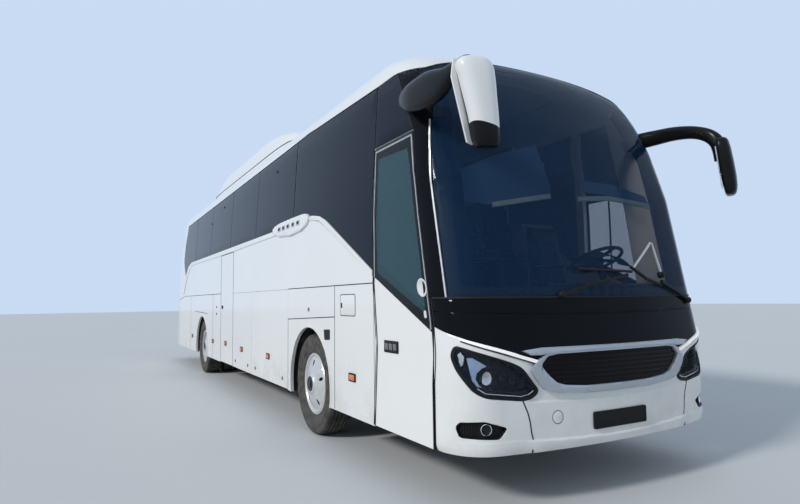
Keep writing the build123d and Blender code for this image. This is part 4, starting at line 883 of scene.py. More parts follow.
for name, finish, loop, back, front, lip in (
        ("fuel_door_gap", seam_black, [fuel_loop(0, 0.03), fuel_loop(0.007, 0.026)], BURIED, FLUSH, 0),
        ("fuel_door", enamel, fuel_loop(0.011, 0.024), BURIED, 0.004, 0.003),
        ("fuel_door_latch", dull_black, box_loop(1.962, 1.296, 1.992, 1.342, 0.008), 0, 0.0065, 0.002),
        ("service_recess", dull_black, rounded(SERVICE_RECESS, 0.015), BURIED, 0.0012, 0)):
    fit(name, finish, flank(-1), [loop], back, front, UNDIVIDED, lip)
for side, name in SIDES:
    for number, (a, h, body) in enumerate(LOCKS[name]):
        fit(f"lock_ring_{name}_{number}", dull_black, flank(side),
            [[circle(a, h, 0.020), circle(a, h, 0.014)]], -0.003, 0.005, UNDIVIDED, 0.002, body=body)
        fit(f"lock_barrel_{name}_{number}", alloy, flank(side), [circle(a, h, 0.0145)], -0.003, 0.002,
            UNDIVIDED, body=body)


# Roof
# Above the side glass the roof skin rolls over in one sheet. The climate unit is a
# long moulded fairing that sits on it, with a joint all round its foot.
def roof_y(y):
    return y + BUMPER_FACE


# Rings of a station each, bridged in turn. They close on each other or are capped.
def lofted(stations, placed, corners, closed=False):
    cast, rings = bmesh.new(), []
    for station in stations:
        ring = bmesh.ops.create_circle(cast, cap_ends=False, segments=corners, radius=1.0)["verts"]
        for vert in ring:
            vert.co = placed(station, vert.co.x, vert.co.y)
        rings.append([edge for edge in cast.edges if edge.verts[0] in ring and edge.verts[1] in ring])
    for below, above in zip(rings, rings[1:] + rings[:1] if closed else rings[1:]):
        bmesh.ops.bridge_loops(cast, edges=below + above)
    for ring in () if closed else (rings[-1], rings[0]):
        bmesh.ops.contextual_create(cast, geom=ring)
    return cast


def squared(x, y, power):
    size = (abs(x) ** power + abs(y) ** power) ** (1 / power)
    return x / size, y / size


# Height, front, rear, half width and growth of each ring of the fairing
FAIRING = [
    (3.300, 3.870, 9.455, 1.066, 0), (3.420, 3.905, 9.415, 1.062, 0), (3.500, 3.985, 9.280, 1.056, 0),
    (3.580, 4.150, 9.060, 1.048, 0), (3.650, 4.400, 8.760, 1.036, 0), (3.700, 4.720, 8.420, 1.015, 0),
    (3.733, 5.060, 8.080, 0.980, 0), (3.752, 5.400, 7.760, 0.920, 0), (3.761, 5.700, 7.450, 0.820, 0),
    (3.766, 6.000, 7.150, 0.640, 0), (3.768, 6.250, 6.900, 0.360, 0),
]
FAIRING_JOINT = [(level, 3.933, 9.365, 1.060, grow)
                 for level, grow in ((3.452, 0.004), (3.460, 0.004), (3.460, -0.010), (3.452, -0.010))]
FAIRING_SQUARE = 9
RING_CORNERS = 96


def fairing(station, x, y):
    level, front, rear, half, grow = station
    x, y = squared(x, y, FAIRING_SQUARE)
    return x * (half + grow), roof_y((front + rear) / 2 + y * ((rear - front) / 2 + grow)), level


piece(lofted(FAIRING, fairing, RING_CORNERS), "climate_fairing", enamel, instead="roof_unit", crease=50)
piece(lofted(FAIRING_JOINT, fairing, RING_CORNERS, True), "climate_fairing_joint", seam_black)

# Antenna: a short spike on a low foot over the front of the roof
antenna = turned([(0.0, 0.000), (0.030, 0.000), (0.030, 0.008), (0.012, 0.020), (0.006, 0.060),
                  (0.0045, 0.120), (0.0, 0.125)], 16)
bmesh.ops.rotate(antenna, verts=antenna.verts[:], cent=(0, 0, 0), matrix=Matrix.Rotation(-pi / 2, 3, "Y"))
move(antenna, 0.35, roof_y(1.85), 3.440)
piece(antenna, "roof_antenna", dull_black)

# Two roof hatches behind and before the fairing
HATCH_HALF = 0.38
HATCH_LEVEL = 3.438


def overhead(across, out, along):
    return np.stack([across, along + BUMPER_FACE, HATCH_LEVEL + out], 1)


for number, (front, rear) in enumerate(((2.45, 3.15), (9.85, 10.55))):
    hatch = plate(box_loop(-HATCH_HALF, front, HATCH_HALF, rear, 0.08))
    swell(hatch, 0.0, 0.055, 0.020)
    lay(hatch, overhead)
    piece(hatch, f"roof_hatch_{number}", enamel)

# A black sealing strip runs along the roof's edge above the side glass
for side, name in SIDES:
    line = [(1.33 if side < 0 else 0.99, 3.150), (3.000, 3.200), (6.0, 3.170), (8.5, 3.146), (11.08, 3.120)]
    fit(f"roof_seal_{name}", rubber, flank(side), [band(line, 0.012)], BURIED, 0.004, 0.15)

# Side and rear glass
# Bonded double panes of privacy glass, edge to edge, with thin black joints. From
# outside they look nearly black with a blue cast, and the seats barely show.
PRIVACY_DARK, PRIVACY_LIGHT = (0.003, 0.007, 0.016), (0.005, 0.011, 0.025)
privacy = Finish("privacy glass", (0.004, 0.009, 0.020), "dark_glass", 0.035, specular=0.10, alpha=0.92)
privacy.vary(0.9, 2.0, PRIVACY_DARK, PRIVACY_LIGHT, rough=(3.0, 5.0, 0.04, 0.02),
             grain=(1.6, 1.0, 0.03, 0.02))
coat(privacy, "side_glass_right", "side_glass_left", "rear_glass")
door_glass = Finish("door glass", (0.020, 0.075, 0.095), roughness=0.02, specular=0.35, alpha=0.62)
door_glass.vary(0.8, 2.0, (0.016, 0.062, 0.080), (0.026, 0.092, 0.112), rough=(3.0, 5.0, 0.03, 0.01))
coat(door_glass, "front_door_glass")

# Small black clips where the panes meet the roof
CLIPS = [(4.13, 2.994), (7.23, 2.998), (8.22, 2.831)]
for side, name in SIDES:
    clips = [rounded([(a - 0.055, h), (a, h - 0.020), (a + 0.055, h), (a, h + 0.020)], 0.01)
             for a, h in CLIPS]
    fit(f"pane_clips_{name}", dull_black, flank(side), clips, -0.003, 0.006, UNDIVIDED, 0.002)

# Bumper
# One moulded cover over the whole nose, joined each side of the number plate. Two
# ledges cross its middle and it is pierced for the headlamps and the fog lamps.
NOSE_BACK = [0, 0, 0, 0.111, 0.222, 0.283, 0.345, 0.505, 0.690, 0.950, 1.230]
BOW_RADII = [6, 6, 6, 5.5, 5, 4.5, 4, 4, 4, 4, 4]
CORNER_RADII = [0.33, 0.33, 0.33, 0.315, 0.30, 0.30, 0.30, 0.34, 0.38, 0.39, 0.39]
NOSE_STEP = 0.04
PROBE = 0.001


# Plan place of a point so far round the nose from its middle, at a height
def nose_point(along, height):
    back, half, bow, corner = [at_height(height, row)
                               for row in (NOSE_BACK, HALF_WIDTHS, BOW_RADII, CORNER_RADII)]
    turn = np.arcsin((half - corner) / (bow - corner))
    far = np.abs(along)
    first, second = bow * turn, corner * (pi / 2 - turn)
    bend = np.where(far < first, far / bow, np.minimum(turn + (far - first) / corner, pi / 2))
    x = np.where(far < first, bow * np.sin(bend), half - corner + corner * np.sin(bend))
    y = np.where(far < first, back + bow * (1 - np.cos(bend)),
                 back + bow - (bow - corner) * np.cos(turn) - corner * np.cos(bend)
                 + np.maximum(far - first - second, 0))
    return np.sign(along) * x, y


def nose(along, out, height):
    x, y = nose_point(along, height)
    side_x, side_y = nose_point(along + PROBE, height)
    up_x, up_y = nose_point(along, height + PROBE)
    run = np.stack([side_x - x, side_y - y, 0 * x], 1)
    rise = np.stack([up_x - x, up_y - y, 0 * x + PROBE], 1)
    outward = np.cross(run, rise)
    outward /= np.linalg.norm(outward, axis=1, keepdims=True)
    return np.stack([x, y + BUMPER_FACE, height], 1) + outward * np.asarray(out)[:, None]


# How far round the nose a point lies, from its distance across or behind the front
def round_to(height, across=None, behind=None):
    far = np.linspace(0, 3, 1501)
    x, y = nose_point(far, np.full_like(far, height))
    if behind is None:
        return float(np.interp(across, x[:np.argmax(x) + 1], far[:np.argmax(x) + 1]))
    return float(np.interp(behind, y, far))


def both(loop):
    return [loop, [(-along, height) for along, height in reversed(loop)]]


# Half a loop that starts and ends on the middle line, with its other half
def whole(half):
    return half + [(-along, height) for along, height in reversed(half[1:-1])]


# The door's front edge leans back from the foot of the lean to the door's top
DOOR_FRONT = 0.435
DOOR_LEAN_FOOT = 1.200
DOOR_LEAN_TOP = 0.700
DOOR_TOP = 2.600
DOOR_GAP = 0.012


def door_edge(height):
    return (DOOR_FRONT + max(0.0, height - DOOR_LEAN_FOOT) * (DOOR_LEAN_TOP - DOOR_FRONT)
            / (DOOR_TOP - DOOR_LEAN_FOOT))


def corner_end(height):
    return round_to(height, behind=door_edge(height) - DOOR_GAP), height


BUMPER_FOOT = 0.366
# Where white bumper meets black mask: the middle, the strips and the corners
MASK_LINE = [(0.0, 0.985), (0.640, 0.985), (0.700, 0.951), (0.900, 1.009), (1.093, 1.066), (1.250, 1.117),
             (1.360, 1.150), corner_end(1.182)]
HEADLAMP = [(0.701, 0.756), (0.757, 0.708), (0.834, 0.698), (1.103, 0.730), (1.178, 0.768), (1.240, 0.838),
            (1.295, 0.908), (1.334, 1.000), (1.290, 1.068), (1.096, 1.010), (0.900, 0.947), (0.827, 0.912)]
FOG_RECESS = [(1.303, 0.548), (1.274, 0.580), (1.107, 0.588), (0.950, 0.540), (1.011, 0.472), (1.276, 0.483)]
bumper_half = [(0.0, BUMPER_FOOT), (0.90, BUMPER_FOOT), (1.20, 0.368), corner_end(0.372), corner_end(0.80),
               corner_end(1.0)] + MASK_LINE[::-1]
lamp_loop, fog_loop = rounded(HEADLAMP, 0.035), rounded(FOG_RECESS, 0.025)
outline = bumper_half[:-1] + [(-a, h) for a, h in reversed(bumper_half[1:-1])]
bumper = plate(outline, *both(lamp_loop), *both(fog_loop))
# Rows lie close where the ledges bend
ROWS = [(0.38, 0.41, 0.015), (0.41, 0.470, 0.006), (0.48, 0.64, 0.03), (0.645, 0.705, 0.006),
        (0.72, 1.17, 0.03)]
divide(bumper, grid(-1.46, 1.46, 0.03), np.concatenate([np.arange(*row) for row in ROWS]))
UPPER_LEDGE, LOWER_LEDGE, CHIN_TUCK = 0.010, 0.013, 0.016


def eased_step(value):
    t = np.clip(value, 0, 1)
    return t * t * (3 - 2 * t)


def bumper_surface(along, out, height):
    far = np.abs(along)
    middle = eased_step((0.800 - far) / 0.05)
    upper = 0.666 + 0.030 * far ** 2
    lower = 0.430 + 0.038 * np.minimum(far, 0.9) ** 2
    set_back = eased_step((height - upper) / 0.016) * UPPER_LEDGE * middle
    share = (0.25 + 0.75 * middle) * eased_step((1.40 - far) / 0.25)
    chin = eased_step((lower - height) / 0.012) * LOWER_LEDGE * share
    tuck = CHIN_TUCK * np.clip((0.425 - height) / 0.06, 0, 1.2) ** 2
    return nose(along, out + chin - set_back - tuck, height)


swell(bumper, -0.016, 0.0, 0.004)
lay(bumper, bumper_surface)
piece(bumper, "bumper_cover", enamel, instead="front_bumper", crease=40)

SIDE_JOINT = [(0.835, 0.700), (0.800, 0.620), (0.785, 0.560), (0.778, 0.500), (0.766, 0.450), (0.774, 0.368)]
CHIN_FOOT, CHIN_TOP, CHIN_OUT = 0.37, 0.432, 0.004
joints = fitted(nose, [band(line, SEAM_WIDE) for line in both(SIDE_JOINT)], -0.006, 0.0015, NOSE_STEP)
for vert in joints.verts:
    vert.co.y -= CHIN_OUT if CHIN_FOOT < vert.co.z < CHIN_TOP else 0.0
piece(joints, "bumper_joints", seam_black)

# Round cover over the towing eye, and the blank number plate on its holder
TOW_COVER = (-0.566, 0.576)
PLATE_HALF, PLATE_FOOT, PLATE_TOP, PLATE_RIM = 0.262, 0.466, 0.582, 0.008
PLATE_OUT = 0.002
tow_outer, tow_inner, tow_lid = [circle(*TOW_COVER, radius, 40) for radius in (0.045, 0.041, 0.040)]
fit("tow_cover_gap", seam_black, nose, [[tow_outer, tow_inner]], BURIED, FLUSH, UNDIVIDED)
fit("tow_cover", enamel, nose, [tow_lid], BURIED, 0.0018, UNDIVIDED, 0.002)
plate_black = Finish("plate black", (0.012, 0.012, 0.013), roughness=0.35, specular=0.08)
plate_black.vary(9.0, 4.0, (0.010, 0.010, 0.011), (0.022, 0.022, 0.023), rough=(30.0, 4.0, 0.25, 0.22))


def flat_front(along, out, height):
    return np.stack([along, BUMPER_FACE - PLATE_OUT - out, height], 1)


loop = box_loop(-PLATE_HALF, PLATE_FOOT, PLATE_HALF, PLATE_TOP, 0.014)
inner = box_loop(PLATE_RIM - PLATE_HALF, PLATE_FOOT + PLATE_RIM, PLATE_HALF - PLATE_RIM,
                 PLATE_TOP - PLATE_RIM, 0.010)
fit("number_plate", plate_black, flat_front, [loop], -0.010, 0.005, UNDIVIDED, 0.002)
fit("number_plate_rim", dull_black, flat_front, [[loop, inner]], 0.003, 0.0075, UNDIVIDED, 0.001)

# Fog lamps
# A black insert closes each recess in the bumper and carries one round lamp, a clear
# glass in a bright bezel with a reflector behind it.
clear_lens = Finish("clear lens", (0.10, 0.13, 0.18), "lamp_lens", 0.02, specular=0.08, alpha=0.06)
clear_lens.set("Roughness", clear_lens.clouds(25.0, 4.0) * 0.04 + 0.01)
bright = Finish("bright chrome", (0.72, 0.74, 0.77), "silver_trim", 0.08, 1.0)
bright.vary(5.0, 3.0, (0.68, 0.70, 0.73), (0.78, 0.80, 0.82), rough=(14.0, 4.0, 0.12, 0.04))


# A turned part standing on the nose, drawn as radius and distance out
def boss(along, height, profile, steps=40):
    cast = turned(profile, steps)
    bmesh.ops.rotate(cast, verts=cast.verts[:], cent=(0, 0, 0), matrix=Matrix.Rotation(pi / 2, 3, "Z"))
    move(cast, along, 0, height)
    lay(cast, nose)
    return cast


def shrunk(loop, amount):
    points = [Vector(p) for p in loop]
    inward = []
    for before, here, after in zip(points[-1:] + points[:-1], points, points[1:] + points[:1]):
        run = (after - before).normalized()
        inward.append(tuple(here + Vector((-run.y, run.x)) * amount))
    area = sum(a.x * b.y - b.x * a.y for a, b in zip(points, points[1:] + points[:1]))
    return inward if area > 0 else [tuple(2 * Vector(p) - Vector(q)) for p, q in zip(loop, inward)]


FOG_LAMP = (1.097, 0.534)
# name, finish, profile and crease of each part of the lamp
FOG_PARTS = [
    ("bezel", bright, [(0.030, -0.035), (0.037, -0.030), (0.038, -0.014), (0.034, -0.012), (0.030, -0.018)],
     50),
    ("glass", clear_lens, [(0.0, -0.036), (0.031, -0.036), (0.031, -0.022), (0.022, -0.016), (0.012, -0.014),
                           (0.0, -0.013)], 60),
    ("reflector", bright, [(0.0, -0.046), (0.030, -0.037), (0.030, -0.048), (0.0, -0.052)], 60),
]
fog_walls = [[ring, shrunk(ring, 0.004)] for ring in both(fog_loop)]
ribs = [rib for a in np.arange(1.16, 1.29, 0.018) for rib in both(band([(a, 0.478), (a, 0.582)], 0.004))]
for name, loops, back, front, step in (("walls", fog_walls, -0.050, -0.002, 0.05),
                                       ("backs", both(fog_loop), -0.052, -0.030, 0.05),
                                       ("ribs", ribs, -0.034, -0.024, UNDIVIDED)):
    fit(f"fog_recess_{name}", dull_black, nose, loops, back, front, step)
for side, name in SIDES:
    for part, finish, profile, crease in FOG_PARTS:
        piece(boss(side * FOG_LAMP[0], FOG_LAMP[1], profile), f"fog_{part}_{name}", finish, crease=crease)

# Headlamps
# Each lamp is a black bucket under a clear cover, with a projector in a ringed
# bezel, a bright light guide that bends round it and a row of small lamps below.
INNER_GLASS = [(0.727, 0.757), (0.775, 0.725), (0.842, 0.716), (1.098, 0.748), (1.163, 0.785), (1.222, 0.852),
               (1.274, 0.918), (1.306, 0.996), (1.276, 1.046), (1.090, 0.992), (0.905, 0.930), (0.842, 0.898)]
LIGHT_GUIDE = [(1.222, 0.982), (1.180, 0.984), (1.082, 0.932), (1.120, 0.912), (1.152, 0.886), (1.160, 0.850),
               (1.140, 0.812), (1.118, 0.800), (1.150, 0.800), (1.184, 0.836), (1.196, 0.880)]
CORNER_LAMP = [(1.290, 1.004), (1.262, 1.026), (1.236, 0.990), (1.246, 0.940), (1.262, 0.930)]
LOWER_GUIDE = [(1.150, 0.792), (1.098, 0.760), (0.950, 0.742), (0.842, 0.728), (0.785, 0.737), (0.745, 0.760)]
SHELF_UP = 0.016
lamp_dark = Finish("lamp bucket", (0.005, 0.006, 0.008), roughness=0.3, specular=0.12)
lamp_dark.vary(12.0, 3.0, (0.005, 0.006, 0.008), (0.014, 0.016, 0.020), rough=(40.0, 3.0, 0.2, 0.15))
guide_blue = Finish("light guide", (0.30, 0.42, 0.66), "silver_trim", 0.12, 0.5)
guide_blue.vary(18.0, 2.0, (0.22, 0.33, 0.58), (0.48, 0.58, 0.76))
inner_loop = rounded(INNER_GLASS, 0.030)
shelf_line = [(a, h + SHELF_UP) for a, h in LOWER_GUIDE[1:-1]]
rims = [[ring, glass] for ring, glass in zip(both(shrunk(lamp_loop, 0.002)), both(inner_loop))]
walls = [[ring, shrunk(ring, 0.005)] for ring in both(inner_loop)]
# name, finish, loops, back, front, step and lip of each part laid in the nose
LAMP_PARTS = [
    ("rims", dull_black, rims, -0.020, 0.0015, NOSE_STEP, 0.003),
    ("bucket_walls", lamp_dark, walls, -0.085, -0.008, NOSE_STEP, 0),
    ("bucket_backs", lamp_dark, both(inner_loop), -0.092, -0.080, NOSE_STEP, 0),
    ("covers", clear_lens, both(shrunk(inner_loop, -0.004)), -0.009, -0.003, NOSE_STEP, 0.002),
    ("light_guides", guide_blue, both(LIGHT_GUIDE), -0.070, -0.026, 0.03, 0.006),
    ("corner_lamps", bright, both(CORNER_LAMP), -0.070, -0.020, 0.03, 0.006),
    ("lower_guides", bright, [band(line, 0.007) for line in both(LOWER_GUIDE)], -0.040, -0.012, 0.03, 0.002),
    ("shelves", lamp_dark, [band(line, 0.020) for line in both(shelf_line)], -0.070, -0.030, 0.03, 0.004),
]
for name, finish, loops, back, front, step, lip in LAMP_PARTS:
    fit(f"headlamp_{name}", finish, nose, loops, back, front, step, lip, instead="headlamps")

# name, finish, crease, then place, profile and steps of each turned part of a lamp
PROJECTOR = (1.077, 0.851)
SMALL_PROFILE = [(0.0, -0.078), (0.024, -0.070), (0.030, -0.052), (0.026, -0.050), (0.012, -0.058),
                 (0.0, -0.060)]
TURNED_PARTS = [
    ("projector_bezel", lamp_dark, 50, [(PROJECTOR, [(r, -0.080), (r + 0.007, -0.080), (r + 0.007, out),
                                                     (r, out - 0.004)], 40)
                                        for r, out in ((0.046, -0.036), (0.057, -0.031), (0.068, -0.026))]),
    ("projector_lens", clear_lens, 60, [(PROJECTOR, [(0.0, -0.070), (0.042, -0.070), (0.042, -0.052),
                                                     (0.038, -0.040),
                                                     (0.028, -0.030), (0.014, -0.024), (0.0, -0.022)], 40)]),
    ("projector_reflector", bright, 60, [(PROJECTOR, [(0.0, -0.078), (0.030, -0.070), (0.044, -0.060),
                                                      (0.044, -0.082), (0.0, -0.086)], 40)]),
    ("small_reflectors", lamp_dark, 60, [(spot, SMALL_PROFILE, 28)
                                         for spot in ((0.955, 0.850), (0.880, 0.828), (0.815, 0.800))]),
]
for side, name in SIDES:
    for part, finish, crease, turns in TURNED_PARTS:
        casts = [boss(side * a, h, profile, steps) for (a, h), profile, steps in turns]
        piece(combine(casts), f"{part}_{name}", finish, instead="headlamps", crease=crease)

# Grille
# A black louvred panel inside a broad satin frame, under a polished blade. Two white
# trim strips run from the frame's shoulders up to the corners of the nose. They are
# made to glow a little, as a painted highlight.
GRILLE = [(0.0, 0.764), (0.320, 0.767), (0.495, 0.782), (0.572, 0.802), (0.645, 0.862), (0.696, 0.922),
          (0.640, 0.980), (0.560, 0.992), (0.0, 0.994)]
GRILLE_FRAME = [(0.0, 0.714), (0.320, 0.718), (0.560, 0.736), (0.672, 0.762), (0.722, 0.812), (0.772, 0.888),
                (0.752, 0.925), (0.700, 0.972), (0.640, 0.996), (0.560, 1.004), (0.0, 1.004)]
BLADE = [(0.0, 1.001), (0.560, 0.999), (0.700, 0.990), (0.775, 0.992), (0.838, 1.020), (0.690, 1.034),
         (0.0, 1.032)]
LOUVRES = [(0.800, 0.520), (0.832, 0.585), (0.864, 0.632), (0.896, 0.662), (0.928, 0.676), (0.960, 0.640)]
STRIP = [(0.716, 0.934), (0.900, 0.990), (1.093, 1.047), (1.240, 1.096), (1.258, 1.117), (1.093, 1.068),
         (0.900, 1.011), (0.704, 0.954)]
STRIP_SHADOW_LINE = [(0.712, 0.929), (0.900, 0.985), (1.093, 1.042), (1.243, 1.091)]
satin = Finish("satin silver", (0.44, 0.47, 0.52), "silver_trim", 0.30, 0.55)
brushed = satin.clouds(3.0, 3.0, (0.2, 1, 1))
satin.set("Base Color", satin.mix(brushed, (0.43, 0.46, 0.51), (0.47, 0.50, 0.55)))
satin.set("Roughness", brushed * 0.08 + 0.26)
louvre_black = Finish("louvre black", (0.006, 0.006, 0.007), "black_gloss", 0.12, specular=0.08)
louvre_black.vary(3.0, 3.0, (0.006, 0.006, 0.007), (0.014, 0.014, 0.015), rough=(16.0, 4.0, 0.12, 0.06))
# White trim strips. They are no lamps, and their emission is a painted highlight of the light they catch
strip_white_painted_glow = Finish("trim strip painted glow", (0.86, 0.85, 0.86), "silver_trim", 0.15, coat_weight=0.5,
                     emission_strength=0.35)
strip_white_painted_glow.vary(9.0, 2.0, (0.76, 0.72, 0.73), (0.84, 0.84, 0.84), rough=(20.0, 3.0, 0.12, 0.08))
grille_loop, frame_loop = rounded(whole(GRILLE), 0.014), rounded(whole(GRILLE_FRAME), 0.016)
slats = [box_loop(-reach, level - 0.008, reach, level + 0.008, 0.006) for level, reach in LOUVRES]
fit("grille_surround", satin, nose, [[frame_loop, grille_loop]], -0.020, 0.020, NOSE_STEP, 0.008,
    instead="grille_frame")
fit("grille_panel", louvre_black, nose, [shrunk(grille_loop, -0.003)], -0.022, -0.004, NOSE_STEP,
    instead="grille")
fit("grille_louvres", louvre_black, nose, slats, -0.006, 0.004, 0.05, 0.006, instead="grille")
fit("grille_blade", satin, nose, [rounded(whole(BLADE), 0.008)], -0.010, 0.026, NOSE_STEP, 0.006)
fit("nose_trim_strips_painted_glow", strip_white_painted_glow, nose, both(rounded(STRIP, 0.006)), -0.008, 0.016, NOSE_STEP, 0.004)
# A thin dark band just under each strip is painted shadow, the shade that the strip casts
fit("nose_strip_painted_shadows", seam_black, nose, [band(line, 0.008) for line in both(STRIP_SHADOW_LINE)], BURIED, 0.006,
    NOSE_STEP)

# Nose mask
# Two gloss black panels fill the nose between bumper and windscreen, with a fine
# joint between them. They open for the wiper drives.
GLOSS_DARK, GLOSS_LIGHT = (0.004, 0.005, 0.007), (0.008, 0.009, 0.012)
MASK_JOINT = [(0.0, 1.246), (0.600, 1.252), (1.000, 1.266), (1.200, 1.276), corner_end(1.282)]
MASK_BACKING = [(0.0, 1.246), (0.6, 1.252), (1.0, 1.266), (1.40, 1.28)]
MASK_TOP = 1.366
MASK_LIFT = 0.004
HALF_JOINT = 0.0025
lacquer = Finish("gloss black", (0.003, 0.003, 0.005), "black_gloss", 0.05, specular=0.06)
lacquer.vary(1.2, 3.0, GLOSS_DARK, GLOSS_LIGHT, rough=(2.0, 4.0, 0.06, 0.02), grain=(1.5, 1.0, 0.03, 0.02))
frame_black = Finish("frame black", (0.005, 0.005, 0.006), roughness=0.5, specular=0.1)
frame_black.vary(5.0, 3.0, (0.004, 0.004, 0.005), (0.009, 0.009, 0.010))
coat(frame_black, "front_frame")
lower_mask = [(a, h + MASK_LIFT) for a, h in MASK_LINE] + [(a, h - HALF_JOINT) for a, h in MASK_JOINT[::-1]]
upper_mask = ([(a, h + HALF_JOINT) for a, h in MASK_JOINT]
              + [corner_end(1.33), corner_end(MASK_TOP), (0.0, MASK_TOP)])
for loop, name in ((lower_mask, "lower"), (upper_mask, "upper")):
    fit(f"nose_mask_{name}", lacquer, nose, [whole(loop)], -0.016, 0.0, NOSE_STEP, 0.004,
        instead="front_mask")
backing = [(-a, h) for a, h in reversed(MASK_BACKING[1:])] + MASK_BACKING
fit("nose_mask_backing", seam_black, nose, [band(backing, 0.030)], -0.030, -0.010, NOSE_STEP,
    instead="front_mask")

# Windscreen
# One deep sheet of blue tinted laminated glass, bonded over the pillars with a
# black band printed round its edge, and a bright trim down each side which also
# paints the highlight along the glass edge.
SCREEN_FOOT, SCREEN_TOP = 1.376, 3.336
ARCH_RISE, ARCH_SPAN = 0.240, 1.2
# Height and distance behind the front of the screen's side edge
SCREEN_SIDE = [(SCREEN_FOOT, 0.319), (1.700, 0.382), (2.050, 0.450), (2.420, 0.522), (2.777, 0.592),
               (2.960, 0.706), (3.110, 0.803)]
HEAD_PLACES = (1.02, 0.90, 0.75, 0.60, 0.45, 0.30, 0.15)
SCREEN_CLEAR = [(0.0, 1.440), (1.195, 1.440), (1.182, 2.000), (1.185, 2.260), (1.150, 2.600), (1.060, 2.900),
                (0.900, 3.060), (0.600, 3.150), (0.0, 3.200)]
SEAL_WIDE = 0.012
SEAL_UP = 0.004
SEAL_END = 0.02


def on_arch(across, lift=0.0):
    height = SCREEN_TOP - ARCH_RISE * (across / ARCH_SPAN) ** 2
    return round_to(height, across=across), height + lift


screen_half = ([(0.0, SCREEN_FOOT)] + [(round_to(z, behind=y), z) for z, y in SCREEN_SIDE]
               + [on_arch(x) for x in (1.10, *HEAD_PLACES)] + [(0.0, SCREEN_TOP)])
screen_loop, clear_loop = whole(screen_half), rounded(whole(SCREEN_CLEAR), 0.06)
tinted = Finish("tinted glass", (0.010, 0.035, 0.085), "dark_glass", 0.02, specular=0.09, alpha=0.40)
tinted.vary(0.8, 2.0, (0.006, 0.026, 0.070), (0.012, 0.044, 0.105), rough=(3.0, 5.0, 0.03, 0.01))
print_black = Finish("printed band", (0.004, 0.004, 0.005), roughness=0.4)
print_black.vary(6.0, 3.0, (0.003, 0.003, 0.004), (0.008, 0.008, 0.010))
fit("windscreen_glass", tinted, nose, [screen_loop], -0.007, 0.0, NOSE_STEP, 0.002, instead="windscreen")
fit("windscreen_print", print_black, nose, [[screen_loop, clear_loop]], -0.012, -0.008, NOSE_STEP,
    instead="windscreen")

# Pillar and header covers outside the glass, up to the door and the roof
pillar = [(a + 0.006, z) for a, z in screen_half[1:8]]
pillar += [(round_to(z, behind=y), z) for z, y in ((3.140, 0.975), (2.90, 0.86))]
pillar += [corner_end(z) for z in (2.612, 2.30, 2.00, 1.70, SCREEN_FOOT)]
fit("pillar_covers", lacquer, nose, both(pillar), -0.030, 0.006, NOSE_STEP, 0.005)
# Bright silver band on each side edge of the glass, partly a trim and partly a painted highlight
highlight_trim_line = [(round_to(z, behind=np.interp(z, *zip(*SCREEN_SIDE))) + 0.001, z)
             for z in np.linspace(SCREEN_FOOT, 2.66, 12)]
trims = [band(line, SEAL_WIDE) for line in both(highlight_trim_line)]
fit("screen_side_highlight_trims", alloy, nose, trims, BURIED, 0.012, NOSE_STEP, 0.003)
foot_end = corner_end(1.370)[0] - SEAL_END
low_seal = [(-foot_end, 1.373), (-0.8, 1.370), (0.0, 1.368), (0.8, 1.370), (foot_end, 1.373)]
fit("screen_foot_seal", rubber, nose, [band(low_seal, SEAL_WIDE)], -0.006, 0.005, 0.05, 0.003)
arch_line = [on_arch(x, SEAL_UP) for x in (1.12, *HEAD_PLACES)]
arch_line += [(0.0, SCREEN_TOP + SEAL_UP)] + [(-a, z) for a, z in reversed(arch_line)]
fit("screen_head_seal", rubber, nose, [band(arch_line, SEAL_WIDE)], -0.030, 0.003, 0.05)

# Wipers
# Two black arms on spindles in the mask, with long jointed blades that rest low on
# the glass. The driver's arm is a polished pair of links.
ARMS = [[(-0.437, 1.383), (-0.151, 1.455), (0.238, 1.525)], [(0.655, 1.478), (0.840, 1.405), (1.031, 1.330)]]
BLADES = [[(-0.259, 1.567), (0.020, 1.560), (0.305, 1.552)], [(0.300, 1.590), (0.470, 1.500), (0.650, 1.450)]]
LINKS = [[(0.330, 1.580), (0.630, 1.792)], [(0.645, 1.792), (0.697, 1.535)]]
SPINDLE = [(0.0, -0.010), (0.026, -0.010), (0.024, 0.026), (0.014, 0.034), (0.0, 0.036)]
for name, finish, lines, wide, back, front, lip in (("arms", dull_black, ARMS, 0.024, 0.010, 0.030, 0.006),
                                                    ("blades", rubber, BLADES, 0.016, 0.006, 0.024, 0.005),
                                                    ("links", alloy, LINKS, 0.016, 0.006, 0.018, 0.004)):
    fit(f"wiper_{name}", finish, nose, [band(line, wide) for line in lines], back, front, 0.05, lip,
        instead="wipers")
pivots = [boss(*spot, SPINDLE, 24) for spot in (ARMS[0][0], ARMS[1][-1], LINKS[1][1])]
piece(combine(pivots), "wiper_spindles", dull_black, instead="wipers", crease=50)

# Side panes
# Bonded panes of privacy glass run from the pillar to the tail with thin rubber
# joints. The driver's window, in the first left pane, is clear and slides.
PANE_JOINTS = [3.38, 5.00, 6.55, 8.20, 9.80]
PANE_GAP = 0.004
PANE_STEP = 0.10
PANE_FOOT, PANE_HEAD, HEAD_FALL = 2.232, 3.199, 0.0099
SIDE_OUTLINE = [(1.337, 1.579), (2.700, 2.231), (10.300, 2.231), (10.702, 2.165), (11.080, 1.968),
                (11.376, 2.350), (11.336, 2.700), (11.078, 3.118), (3.000, 3.198), (1.337, 3.148)]


def pane_edge(z):
    return door_edge(z) - DOOR_GAP + 0.006, z


LEFT_OUTLINE = ([(0.645, 1.272)] + SIDE_OUTLINE[1:] + [(0.985, 3.148)]
                + [pane_edge(z) for z in (2.60, 2.20, 1.80, 1.40)])
OVER_DOOR = [(1.327, 2.617), (1.327, 3.148), (0.985, 3.148), pane_edge(2.617)]
# Front, rear, foot and top of the clear part, and the slope of its lower front corner
DRIVER_WINDOW = (0.80, 1.40, 1.50, 2.34)
WINDOW_SLOPE = 0.46


